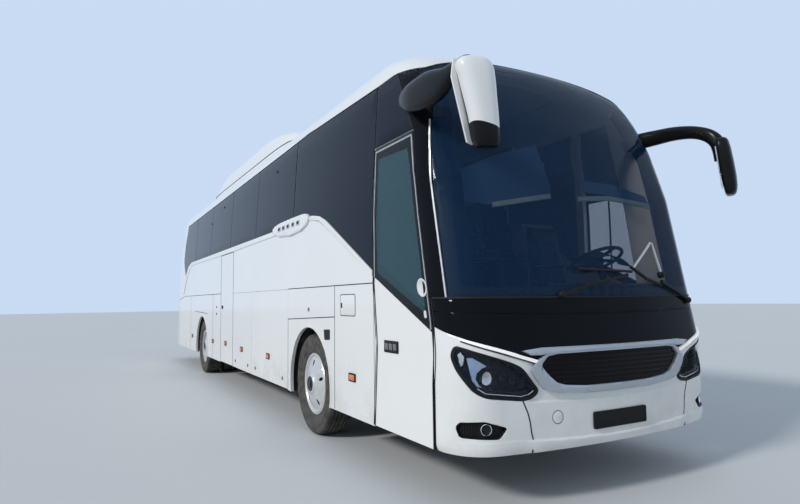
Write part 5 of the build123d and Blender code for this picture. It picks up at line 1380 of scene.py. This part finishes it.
def clipped(loop, low, high):
    for edge, sign in ((low, 1), (high, -1)):
        kept = []
        for here, after in zip(loop, loop[1:] + loop[:1]):
            inside, next_inside = sign * (here[0] - edge) >= 0, sign * (after[0] - edge) >= 0
            if inside:
                kept.append(here)
            if inside != next_inside:
                share = (edge - here[0]) / (after[0] - here[0])
                kept.append((edge, here[1] + share * (after[1] - here[1])))
        loop = kept
    return loop


window_glass = Finish("driver window glass", (0.010, 0.030, 0.045), "dark_glass", 0.02, specular=0.12,
                      alpha=0.90)
_, window_at, window_up = window_glass.axes()
low_y, high_y, low_z, high_z = DRIVER_WINDOW
inside = ((window_at > roof_y(low_y)) * (window_at < roof_y(high_y))
          * (window_up > low_z) * (window_up < high_z)
          * (window_up > low_z + WINDOW_SLOPE * (window_at - roof_y(low_y))))
dark_part = window_glass.mix(window_glass.clouds(0.9, 2.0), PRIVACY_DARK, PRIVACY_LIGHT)
window_glass.set("Alpha", 0.92 - inside * 0.66)
window_glass.set("Base Color", window_glass.mix(inside, dark_part, (0.03, 0.07, 0.09)))
header_joints = [band([(0.988, 3.146), (0.845, 2.880), (0.703, 2.622)], 0.016),
                 band([(1.332, 2.622), (1.332, 3.146)], 0.012)]
joints = [band([(y, PANE_FOOT), (y, PANE_HEAD - HEAD_FALL * (y - 3.0))], 0.012) for y in PANE_JOINTS]
edges = [0.0] + PANE_JOINTS + [12.0]


def side_pane(name, finish, side, loop):
    fit(name, finish, flank(side), [rounded(loop, 0.012, 2)], BURIED, 0.0005, PANE_STEP, 0.002,
        instead=f"side_glass_{'right' if side < 0 else 'left'}")


for side, name in SIDES:
    for number, (start, stop) in enumerate(zip(edges, edges[1:])):
        pane = clipped(LEFT_OUTLINE if side > 0 else SIDE_OUTLINE, start + PANE_GAP, stop - PANE_GAP)
        glass = window_glass if side > 0 and number == 0 else privacy
        side_pane(f"side_pane_{name}_{number}", glass, side, pane)
    fit(f"pane_joints_{name}", rubber, flank(side), joints, -0.008, 0.0014, PANE_STEP,
        instead=f"side_glass_{name}")
side_pane("over_door_pane", privacy, -1, OVER_DOOR)
for side, name in SIDES:
    bands = header_joints if side < 0 else header_joints[:1]
    fit(f"header_joints_{name}", rubber, flank(side), bands, -0.008, 0.0022, PANE_STEP,
        instead=f"side_glass_{name}")

# Frame and sliding pane of the driver's window
driver_window = [rounded([(0.80, 1.45), (1.40, 1.74), (1.40, 2.35), (0.94, 2.35)], 0.03),
                 rounded([(0.815, 1.475), (1.385, 1.752), (1.385, 2.335), (0.95, 2.335)], 0.025)]
slide_bar = band([(1.12, 1.62), (1.12, 2.34)], 0.016)
fit("driver_window_frame", rubber, flank(1), [driver_window, slide_bar], -0.003, 0.005, PANE_STEP)

# Front door
# A glazed leaf in a bonded black frame. Below a slanting line it is painted white.
# Rubber fingers close the gap on both edges, and it swings out on two arms.
DOOR_BACK = 1.320
DOOR_FOOT = 0.372
PAINT_LEVEL, PAINT_SLOPE, PAINT_FROM = 1.149, 0.462, 0.436
DOOR_LEVELS = (DOOR_FOOT, 0.80, 1.20, 1.60, 2.00, 2.30, 2.595)
split_paint = Finish("door panel", (0.5, 0.5, 0.5), roughness=0.2, specular=0.3)
_, back_at, up_at = split_paint.axes()
above_line = (up_at - PAINT_LEVEL - (back_at - BUMPER_FACE - PAINT_FROM) * PAINT_SLOPE) > 0.0
door_white = split_paint.mix(split_paint.clouds(2.0, 3.0), ENAMEL_DARK, ENAMEL_LIGHT)
split_paint.set("Base Color", split_paint.mix(above_line, door_white, (0.005, 0.006, 0.008)))
split_paint.set("Roughness", split_paint.clouds(2.0, 4.0) * 0.10 + 0.24 - above_line * 0.20)
split_paint.bump(split_paint.clouds(1.4, 1.0), 0.03, 0.02)
coat(split_paint, "front_door")
frame_grey = Finish("door frame line", (0.42, 0.43, 0.45), "silver_trim", 0.3, 0.3)
frame_grey.vary(10.0, 3.0, (0.36, 0.37, 0.39), (0.48, 0.49, 0.51), rough=(25.0, 3.0, 0.15, 0.2))
door_print = Finish("door border", (0.005, 0.006, 0.008), "black_gloss", 0.08, specular=0.12)
door_print.vary(2.0, 3.0, GLOSS_DARK, GLOSS_LIGHT)


# A point on the door so far behind the nose, and rows of points near its two edges
def on_door(y, z):
    return -round_to(z, behind=y), z


def at_back(inset, *levels):
    return [on_door(DOOR_BACK - inset, z) for z in levels]


def at_front(inset, *levels):
    return [on_door(door_edge(z) + inset, z) for z in levels]


frame_line = (at_back(0.016, 1.548) + at_back(0.020, 2.10) + at_back(0.026, 2.575)
              + at_front(0.020, 2.575, 2.30, 2.00, 1.70, 1.40, 1.20, 1.160))
border = (at_back(0.014, 1.548) + at_back(0.018, 2.10) + at_back(0.020, 2.585)
          + [on_door(door_edge(2.58) + 0.014, 2.585)] + at_front(0.014, 2.10, 1.60)
          + [on_door(door_edge(1.17) + 0.014, 1.165)])
opening = (at_back(0.062, 1.585) + at_back(0.046, 2.00) + at_back(0.062, 2.515) + at_front(0.085, 2.490)
           + at_front(0.070, 2.10) + at_front(0.066, 1.60) + [on_door(door_edge(1.26) + 0.072, 1.262)])
paint_edge = at_back(0.010, 1.557) + [on_door(DOOR_FRONT + 0.010, 1.150)]
fit("door_frame_line", frame_grey, nose, [band(frame_line, 0.013)], BURIED, 0.004, 0.06, 0.003,
    body="front_door")
fit("door_border", door_print, nose, [[border, rounded(opening, 0.020)]], -0.003, 0.0015, 0.06,
    body="front_door")
fit("door_paint_joint", rubber, nose, [band(paint_edge, 0.010)], -0.003, 0.002, 0.06, body="front_door")
fingers = at_back(0.006, DOOR_FOOT, 1.5, 2.595), at_front(0.006, *DOOR_LEVELS)
seals = at_back(-0.017, DOOR_FOOT, 1.5, 2.60), at_front(-0.017, *DOOR_LEVELS)
fit("door_leaf_rubbers", rubber, nose, [band(line, 0.012) for line in fingers], -0.030, 0.003, 0.06, 0.004,
    body="front_door")
fit("door_frame_rubbers", rubber, nose, [band(line, 0.009) for line in seals], -0.030, 0.002, 0.06, 0.003)

# Round grab recess, small lock beside it and the switch block lower down
pale_trim = Finish("pale moulding", (0.68, 0.69, 0.70), "silver_trim", 0.35)
pale_trim.vary(9.0, 3.0, (0.62, 0.63, 0.64), (0.74, 0.75, 0.76), rough=(40.0, 2.0, 0.2, 0.25))
GRAB_RING = [(0.0, -0.004), (0.064, -0.004), (0.065, 0.004), (0.060, 0.007), (0.052, 0.005), (0.047, 0.001),
             (0.0, 0.001)]
BLOCK_FRONT, BLOCK_FOOT, BLOCK_BACK, BLOCK_TOP = 0.915, 0.962, 1.140, 1.054
KEY_PITCH = 0.066
piece(boss(*on_door(0.562, 1.447), GRAB_RING, 48), "door_grab_ring", pale_trim, body="front_door", crease=50)
lock_a, lock_z = on_door(0.520, 1.262)
lock = box_loop(lock_a - 0.015, lock_z - 0.026, lock_a + 0.015, lock_z + 0.026, 0.012)
block = [on_door(y, z) for y, z in ((BLOCK_BACK, BLOCK_FOOT), (BLOCK_FRONT, BLOCK_FOOT),
                                    (BLOCK_FRONT, BLOCK_TOP), (BLOCK_BACK, BLOCK_TOP))]
middle = (block[0][0] + block[1][0]) / 2
keys = [box_loop(middle + at - 0.024, 0.984, middle + at + 0.024, 1.032, 0.006)
        for at in (-KEY_PITCH, 0.0, KEY_PITCH)]
for name, finish, loops, back, front, lip in (
        ("lock", pale_trim, [lock], -0.003, 0.006, 0.003),
        ("switch_block", dull_black, [rounded(block, 0.010)], BURIED, 0.007, 0.004),
        ("switch_keys", shell_grey, keys, 0.002, 0.010, 0.003)):
    fit(f"door_{name}", finish, nose, loops, back, front, UNDIVIDED, lip, body="front_door")

# Middle door
# A plain white sheet metal leaf flush with the side, edged with rubber, with a recessed
# pull. It swings out on two arms.
LEAF_EDGE, LEAF_INSIDE = box_loop(6.297, 0.372, 7.198, 2.149), box_loop(6.303, 0.376, 7.192, 2.143)
for name, finish, loops, back, front, lip in (
        ("rubber", rubber, [[LEAF_EDGE, LEAF_INSIDE]], -0.012, 0.0015, 0),
        ("pull_back", seam_black, [box_loop(7.02, 1.245, 7.13, 1.305, 0.015)], -0.003, 0.001, 0),
        ("pull", dull_black, [box_loop(7.035, 1.272, 7.115, 1.300, 0.010)], -0.002, 0.010, 0.005)):
    fit(f"mid_door_{name}", finish, flank(-1), loops, back, front, UNDIVIDED, lip, body="mid_door")

# Mirrors
# Each mirror hangs in front of a corner on a moulded black arm bolted above the
# glass. The right head wears a white shell over its black base.
ARM_CORNERS = 20
ARM_SQUARE = 3


# A pipe through stations of place, thickness across and thickness in height
def tube(stations):
    spots = [Vector(place) for place, _, _ in stations]

    def placed(number, x, y):
        run = (spots[min(number + 1, len(spots) - 1)] - spots[max(number - 1, 0)]).normalized()
        across = run.cross(Vector((0, 0, 1))) if abs(run.z) < 0.93 else Vector((0, 1, 0)).cross(run)
        across.normalize()
        x, y = squared(x, y, ARM_SQUARE)
        _, wide, tall = stations[number]
        return spots[number] + across * (x * wide / 2) + across.cross(run).normalized() * (y * tall / 2)

    return lofted(range(len(stations)), placed, ARM_CORNERS)


# A curve through the stations, so that the arm bends without corners
def eased(stations, parts=6):
    rows = np.array([[x, roof_y(y), z, wide, tall] for x, y, z, wide, tall in stations])
    rows = np.vstack([2 * rows[0] - rows[1], rows, 2 * rows[-1] - rows[-2]])
    line = []
    for a, b, c, d in zip(rows, rows[1:], rows[2:], rows[3:]):
        for t in np.arange(parts) / parts:
            line.append(0.5 * (2 * b + (c - a) * t + (2 * a - 5 * b + 4 * c - d) * t * t
                               + (3 * b - a - 3 * c + d) * t ** 3))
    return [(tuple(row[:3]), row[3], row[4]) for row in [*line, rows[-2]]]


arm_black = Finish("mirror arm black", (0.006, 0.006, 0.007), roughness=0.22, specular=0.15)
arm_black.vary(4.0, 4.0, (0.005, 0.005, 0.006), (0.010, 0.010, 0.011), rough=(9.0, 4.0, 0.18, 0.14))
mirror_glass = Finish("mirror glass", (0.60, 0.65, 0.70), "silver_trim", 0.02, 1.0)
mirror_glass.vary(2.0, 2.0, (0.56, 0.61, 0.66), (0.66, 0.70, 0.75), rough=(6.0, 4.0, 0.05, 0.01))

# Place, thickness across and height of each station from the root to the head
ARM_STATIONS = {
    "right": [(-1.120, 0.920, 2.900, 0.070, 0.070), (-1.215, 0.870, 2.875, 0.070, 0.085),
              (-1.285, 0.770, 2.845, 0.075, 0.110), (-1.322, 0.610, 2.812, 0.080, 0.200),
              (-1.330, 0.400, 2.788, 0.080, 0.250), (-1.328, 0.225, 2.775, 0.078, 0.215),
              (-1.322, 0.100, 2.800, 0.075, 0.125), (-1.318, 0.005, 2.826, 0.075, 0.072),
              (-1.315, -0.095, 2.826, 0.070, 0.060), (-1.308, -0.165, 2.775, 0.070, 0.060)],
    "left": [(1.080, 0.760, 2.770, 0.080, 0.120), (1.150, 0.655, 2.800, 0.080, 0.145),
             (1.195, 0.480, 2.806, 0.080, 0.135), (1.205, 0.300, 2.796, 0.080, 0.120),
             (1.206, 0.120, 2.758, 0.082, 0.108), (1.216, -0.010, 2.692, 0.090, 0.112),
             (1.236, -0.070, 2.600, 0.100, 0.116), (1.254, -0.080, 2.480, 0.100, 0.110)],
}
# Head sections from the top down: height, middle, half width, front and back depth
HEAD_SECTIONS = {
    "right": [(2.812, -1.320, 0.040, 0.025, 0.010), (2.800, -1.330, 0.085, 0.050, 0.025),
              (2.770, -1.328, 0.112, 0.070, 0.036), (2.700, -1.312, 0.112, 0.085, 0.042),
              (2.580, -1.292, 0.102, 0.090, 0.045), (2.450, -1.270, 0.092, 0.088, 0.045),
              (2.350, -1.258, 0.086, 0.080, 0.042), (2.300, -1.252, 0.080, 0.072, 0.038),
              (2.272, -1.248, 0.066, 0.055, 0.030), (2.265, -1.246, 0.035, 0.030, 0.012)],
    "left": [(2.660, 1.250, 0.045, 0.035, 0.015), (2.650, 1.252, 0.090, 0.050, 0.028),
             (2.610, 1.258, 0.115, 0.062, 0.035), (2.520, 1.272, 0.128, 0.070, 0.040),
             (2.400, 1.298, 0.128, 0.072, 0.042), (2.300, 1.320, 0.120, 0.068, 0.040),
             (2.230, 1.330, 0.104, 0.058, 0.034), (2.200, 1.332, 0.080, 0.042, 0.024),
             (2.192, 1.332, 0.035, 0.020, 0.010)],
}
HEAD_SPOTS = {"right": roof_y(-0.165), "left": roof_y(-0.075)}
HEAD_TURNS = {"right": radians(-14), "left": radians(30)}
HEAD_CORNERS = 48
FRONT_SQUARE, BACK_SQUARE = 2.6, 5.0
# The white shell ends at a slanting line below and a plane near the mirror's back
SHELL_LINE = Vector((-1.354, 0, 2.410))
SHELL_WAY = Vector((0.24, 0, 1)).normalized()
SHELL_REAR = 0.012
SHELL_MIDDLE = -1.29
for name in ("right", "left"):
    piece(tube(eased(ARM_STATIONS[name])), f"mirror_arm_{name}", arm_black, instead=f"mirror_{name}",
          crease=60)
for name, sections in HEAD_SECTIONS.items():
    turn, middle_y = HEAD_TURNS[name], HEAD_SPOTS[name]

    def head(section, x, y):
        level, middle, half, front, back = section
        x, y = squared(x, y, FRONT_SQUARE if y < 0 else BACK_SQUARE)
        x, y = x * half, y * (front if y < 0 else back)
        return middle + x * cos(turn) - y * sin(turn), middle_y + x * sin(turn) + y * cos(turn), level

    shell = lofted(sections, head, HEAD_CORNERS)
    bmesh.ops.recalc_face_normals(shell, faces=shell.faces[:])
    bmesh.ops.subdivide_edges(shell, edges=shell.edges[:], cuts=1, smooth=0.6, use_grid_fill=True)
    facing_back = Vector((-sin(turn), cos(turn), 0))
    rear_spot = Vector((SHELL_MIDDLE, middle_y, 0)) + facing_back * SHELL_REAR
    if name == "right":
        split(shell, rear_spot, facing_back)
        split(shell, SHELL_LINE, SHELL_WAY)
    made = piece(shell, f"mirror_head_{name}", (arm_black, enamel) if name == "right" else arm_black,
                 instead=f"mirror_{name}", crease=50)
    if name == "right":
        for face in made.data.polygons:
            white = (face.center - rear_spot).dot(facing_back) < 0 < (face.center - SHELL_LINE).dot(SHELL_WAY)
            face.material_index = int(white)

# The white fin outside the right head
FIN = [(-1.480, 2.800), (-1.400, 2.812), (-1.372, 2.700), (-1.345, 2.545), (-1.330, 2.400), (-1.352, 2.290),
       (-1.392, 2.300), (-1.440, 2.480), (-1.495, 2.690)]
FIN_IN, FIN_Y = 0.038, roof_y(-0.112)


def fin_place(along, out, height):
    return np.stack([along + FIN_IN, FIN_Y + out, height], 1)


fin = plate(FIN)
swell(fin, -0.006, 0.006, 0.003)
lay(fin, fin_place)
piece(fin, "mirror_fin_right", enamel, instead="mirror_right")

# Middle, foot, top, half width, depth and lean of each glass, cut in two by a bar
GLASS_PLACES = {"right": (-1.285, 2.340, 2.740, 0.088, 0.044, -0.155),
                "left": (1.285, 2.260, 2.590, 0.100, 0.041, -0.18)}
WIDE_GLASS_SHARE = 0.30
HALF_BAR = 0.008
for name, (middle, foot, top, half, back, lean) in GLASS_PLACES.items():
    turn, middle_y = HEAD_TURNS[name], HEAD_SPOTS[name]

    def facing(along, out, height):
        x, y = along, back + out
        shift = (height - (foot + top) / 2) * lean
        return np.stack([middle + shift + x * cos(turn) - y * sin(turn),
                         middle_y + x * sin(turn) + y * cos(turn), height], 1)

    bar = foot + (top - foot) * WIDE_GLASS_SHARE
    glasses = [box_loop(-half, foot, half, bar - HALF_BAR, 0.025),
               box_loop(-half, bar + HALF_BAR, half, top, 0.030)]
    fit(f"mirror_glass_{name}", mirror_glass, facing, glasses, BURIED, 0.004, UNDIVIDED, 0.002,
        instead=f"mirror_{name}")

# Cab fittings
# Seen through the windscreen: a roller blind in two parts with pale bottom bars,
# and the hood over the instruments.
blind_cloth = Finish("blind cloth", (0.06, 0.14, 0.30), "seat_fabric", 0.85)
blind_cloth.set("Base Color", blind_cloth.mix(blind_cloth.ribs(900.0), (0.045, 0.115, 0.25),
                                              (0.075, 0.165, 0.33)))
blind_bar = Finish("blind bar", (0.52, 0.66, 0.60), "silver_trim", 0.4)
blind_bar.vary(6.0, 3.0, (0.48, 0.62, 0.56), (0.56, 0.70, 0.64))
BLINDS = [[(-1.061, 2.300), (-0.700, 2.452), (-0.339, 2.560), (-0.281, 2.236), (-0.304, 2.136),
           (-0.822, 2.045), (-1.056, 2.060)],
          [(0.060, 2.200), (0.060, 2.300), (0.420, 2.300), (0.900, 2.250), (0.930, 2.180)]]
BARS = [[(-0.830, 2.045), (-0.304, 2.140)], [(-0.020, 2.135), (0.340, 2.170), (0.940, 2.150)]]
fit("sun_blinds", blind_cloth, nose, BLINDS, -0.090, -0.086, 0.10)
fit("blind_bars", blind_bar, nose, [band(line, 0.034) for line in BARS], -0.095, -0.078, 0.10, 0.004)
# Front and rear points of the hood in turn, from one side to the other
HOOD = [(0.36, 0.560, 1.625), (0.36, 0.700, 1.655), (0.46, 0.560, 1.690), (0.46, 0.715, 1.740),
        (0.62, 0.560, 1.715), (0.62, 0.720, 1.775), (0.78, 0.560, 1.690), (0.78, 0.715, 1.740),
        (0.88, 0.560, 1.625), (0.88, 0.700, 1.655)]
hood = bmesh.new()
points = [hood.verts.new((x, roof_y(y), z)) for x, y, z in HOOD]
for start in range(0, len(HOOD) - 2, 2):
    hood.faces.new([points[start + step] for step in (0, 2, 3, 1)])
bmesh.ops.solidify(hood, geom=hood.faces[:], thickness=0.012)
bmesh.ops.subdivide_edges(hood, edges=hood.edges[:], cuts=2, smooth=0.4, use_grid_fill=True)
piece(hood, "instrument_hood", soft_touch, crease=60)

# Tail
# White moulded corners and a lid over the engine, below a large bonded pane. Lamps,
# louvres and trims are separate parts screwed on or let in.
TAIL_BACK = [12.150, 12.150, 12.150, 12.105, 12.060, 11.985, 11.900, 11.700, 11.520, 11.330, 11.100]
TAIL_FACE = 12.295
TAIL_LEDGE = 1.317
TAIL_CORNER = 0.250


def tail(along, out, height):
    straight = at_height(height, HALF_WIDTHS) - TAIL_CORNER
    back = np.where(height < TAIL_LEDGE, TAIL_FACE, at_height(height, TAIL_BACK)) - TAIL_CORNER
    past = np.abs(along) - straight
    turn = np.clip(past / TAIL_CORNER, 0, pi / 2)
    reach = TAIL_CORNER + out
    x = np.minimum(np.abs(along), straight) + reach * np.sin(turn)
    y = back + reach * np.cos(turn) - np.maximum(past - TAIL_CORNER * pi / 2, 0)
    return np.stack([np.sign(along) * x, y + BUMPER_FACE, height], 1)


tail_joints = [[(-1.36, 0.482), (1.36, 0.482)]]
for line in ([(0.905, 1.330), (0.925, 2.020), (0.885, 2.960), (0.0, 2.985)], [(0.925, 0.490), (0.925, 0.690)],
             [(0.925, 1.230), (0.925, 1.312)]):
    tail_joints += both(line)
pane_ring = [rounded(whole([(0.0, 2.035), (0.910, 2.035), (0.868, 2.965), (0.0, 2.965)]), 0.05),
             rounded(whole([(0.0, 2.062), (0.884, 2.062), (0.844, 2.938), (0.0, 2.938)]), NOSE_STEP)]
fit("tail_joints", seam_black, tail, [band(line, SEAM_WIDE) for line in tail_joints], BURIED, FLUSH)
fit("rear_pane_rubber", rubber, tail, [pane_ring], -0.006, 0.006, 0.12, 0.004)

# Lamp towers: a dark bucket with four lenses one above another on each corner
red_lens = Finish("red lens", (0.55, 0.012, 0.012), "red_lens", 0.10, coat_weight=0.7)
ribs = red_lens.ribs(260.0)
red_lens.set("Base Color", red_lens.mix(ribs, (0.42, 0.008, 0.008), (0.62, 0.020, 0.018)))
red_lens.set("Roughness", ribs * 0.12 + 0.06)
# name, foot, top, finish and slot of each lens
LENSES = [("stop", 1.082, 1.212, red_lens, "red_lens"), ("tail", 0.962, 1.076, red_lens, "red_lens"),
          ("turn", 0.842, 0.956, amber, "lamp_lens"), ("reverse", 0.708, 0.836, bright, "lamp_lens")]
fit("rear_lamp_buckets", lamp_dark, tail, both(box_loop(0.941, 0.701, 1.109, 1.219)), -0.050, -0.012, 0.05,
    instead="tail_lamps")
for name, foot, top, lens, slot in LENSES:
    loops = both(box_loop(0.949, foot, 1.101, top, 0.012))
    fit(f"rear_{name}_lenses", lens, tail, loops, -0.014, -0.001, 0.05, 0.004, slot=slot,
        instead="tail_lamps")
reflectors = [*both(box_loop(0.955, 0.405, 1.095, 0.445, 0.008)),
              *both(box_loop(0.80, 3.015, 0.90, 3.045, 0.010)), box_loop(-0.27, 2.992, 0.27, 3.020, 0.010)]
fit("rear_reflectors", red_lens, tail, reflectors, BURIED, 0.001, 0.06)

# Engine lid: two louvred vents, a sunk blank plate under its lamp, a pull and locks
LID = box_loop(-0.860, 0.560, 0.860, 1.240)
PLATE_WELL = box_loop(-0.280, 0.650, 0.280, 0.850, 0.02)
VENT_STARTS = (-0.800, 0.300)
VENT_WIDE = 0.500
vents = [box_loop(low, 0.905, low + VENT_WIDE, 1.195, 0.02) for low in VENT_STARTS]
slats = [box_loop(low - 0.005, z, low + VENT_WIDE + 0.005, z + 0.013)
         for low in VENT_STARTS for z in np.arange(0.915, 1.185, 0.025)]
# name, finish, slot, loops, back, front, step and lip of each part of the lid
LID_PARTS = [
    ("lid_panel", enamel, None, [[LID, *vents, PLATE_WELL]], -0.030, -0.001, 0.40, 0.003),
    ("lid_frame", seam_black, "frame_paint", [shrunk(LID, 0.02)], -0.058, -0.030, 0.40, 0),
    ("lid_louvres", louvre_black, "black_plastic", slats, -0.026, -0.006, 0.60, 0.006),
    ("rear_plate", plate_black, None, [box_loop(-0.262, 0.662, 0.262, 0.778, 0.012)], -0.032, -0.022, 0.30,
     0.002),
    ("rear_plate_lamp", dull_black, None, [box_loop(-0.110, 0.800, 0.110, 0.836, 0.008)], -0.032, -0.006,
     0.30, 0.006),
    ("lid_handle", dull_black, None, [box_loop(-0.085, 0.585, 0.085, 0.617, 0.012)], -0.003, 0.001, 0.30, 0),
    ("lid_locks", bright, None, both(box_loop(0.790, 0.600, 0.826, 0.636, 0.012)), -0.003, 0.001, 0.30, 0),
]
for name, finish, slot, loops, back, front, step, lip in LID_PARTS:
    fit(name, finish, tail, loops, back, front, step, lip, slot=slot, body="engine_lid", instead="engine_lid")
fit("rear_bumper_strip", rubber, tail, [box_loop(-1.10, 0.377, 1.10, 0.387, 0.003)], -0.003, 0.001, 0.10)
for side, name in SIDES:
    corner = band([(11.898, 0.372), (11.898, 1.312)], SEAM_WIDE)
    fit(f"corner_joint_{name}", seam_black, flank(side), [corner], BURIED, FLUSH, 0.3)
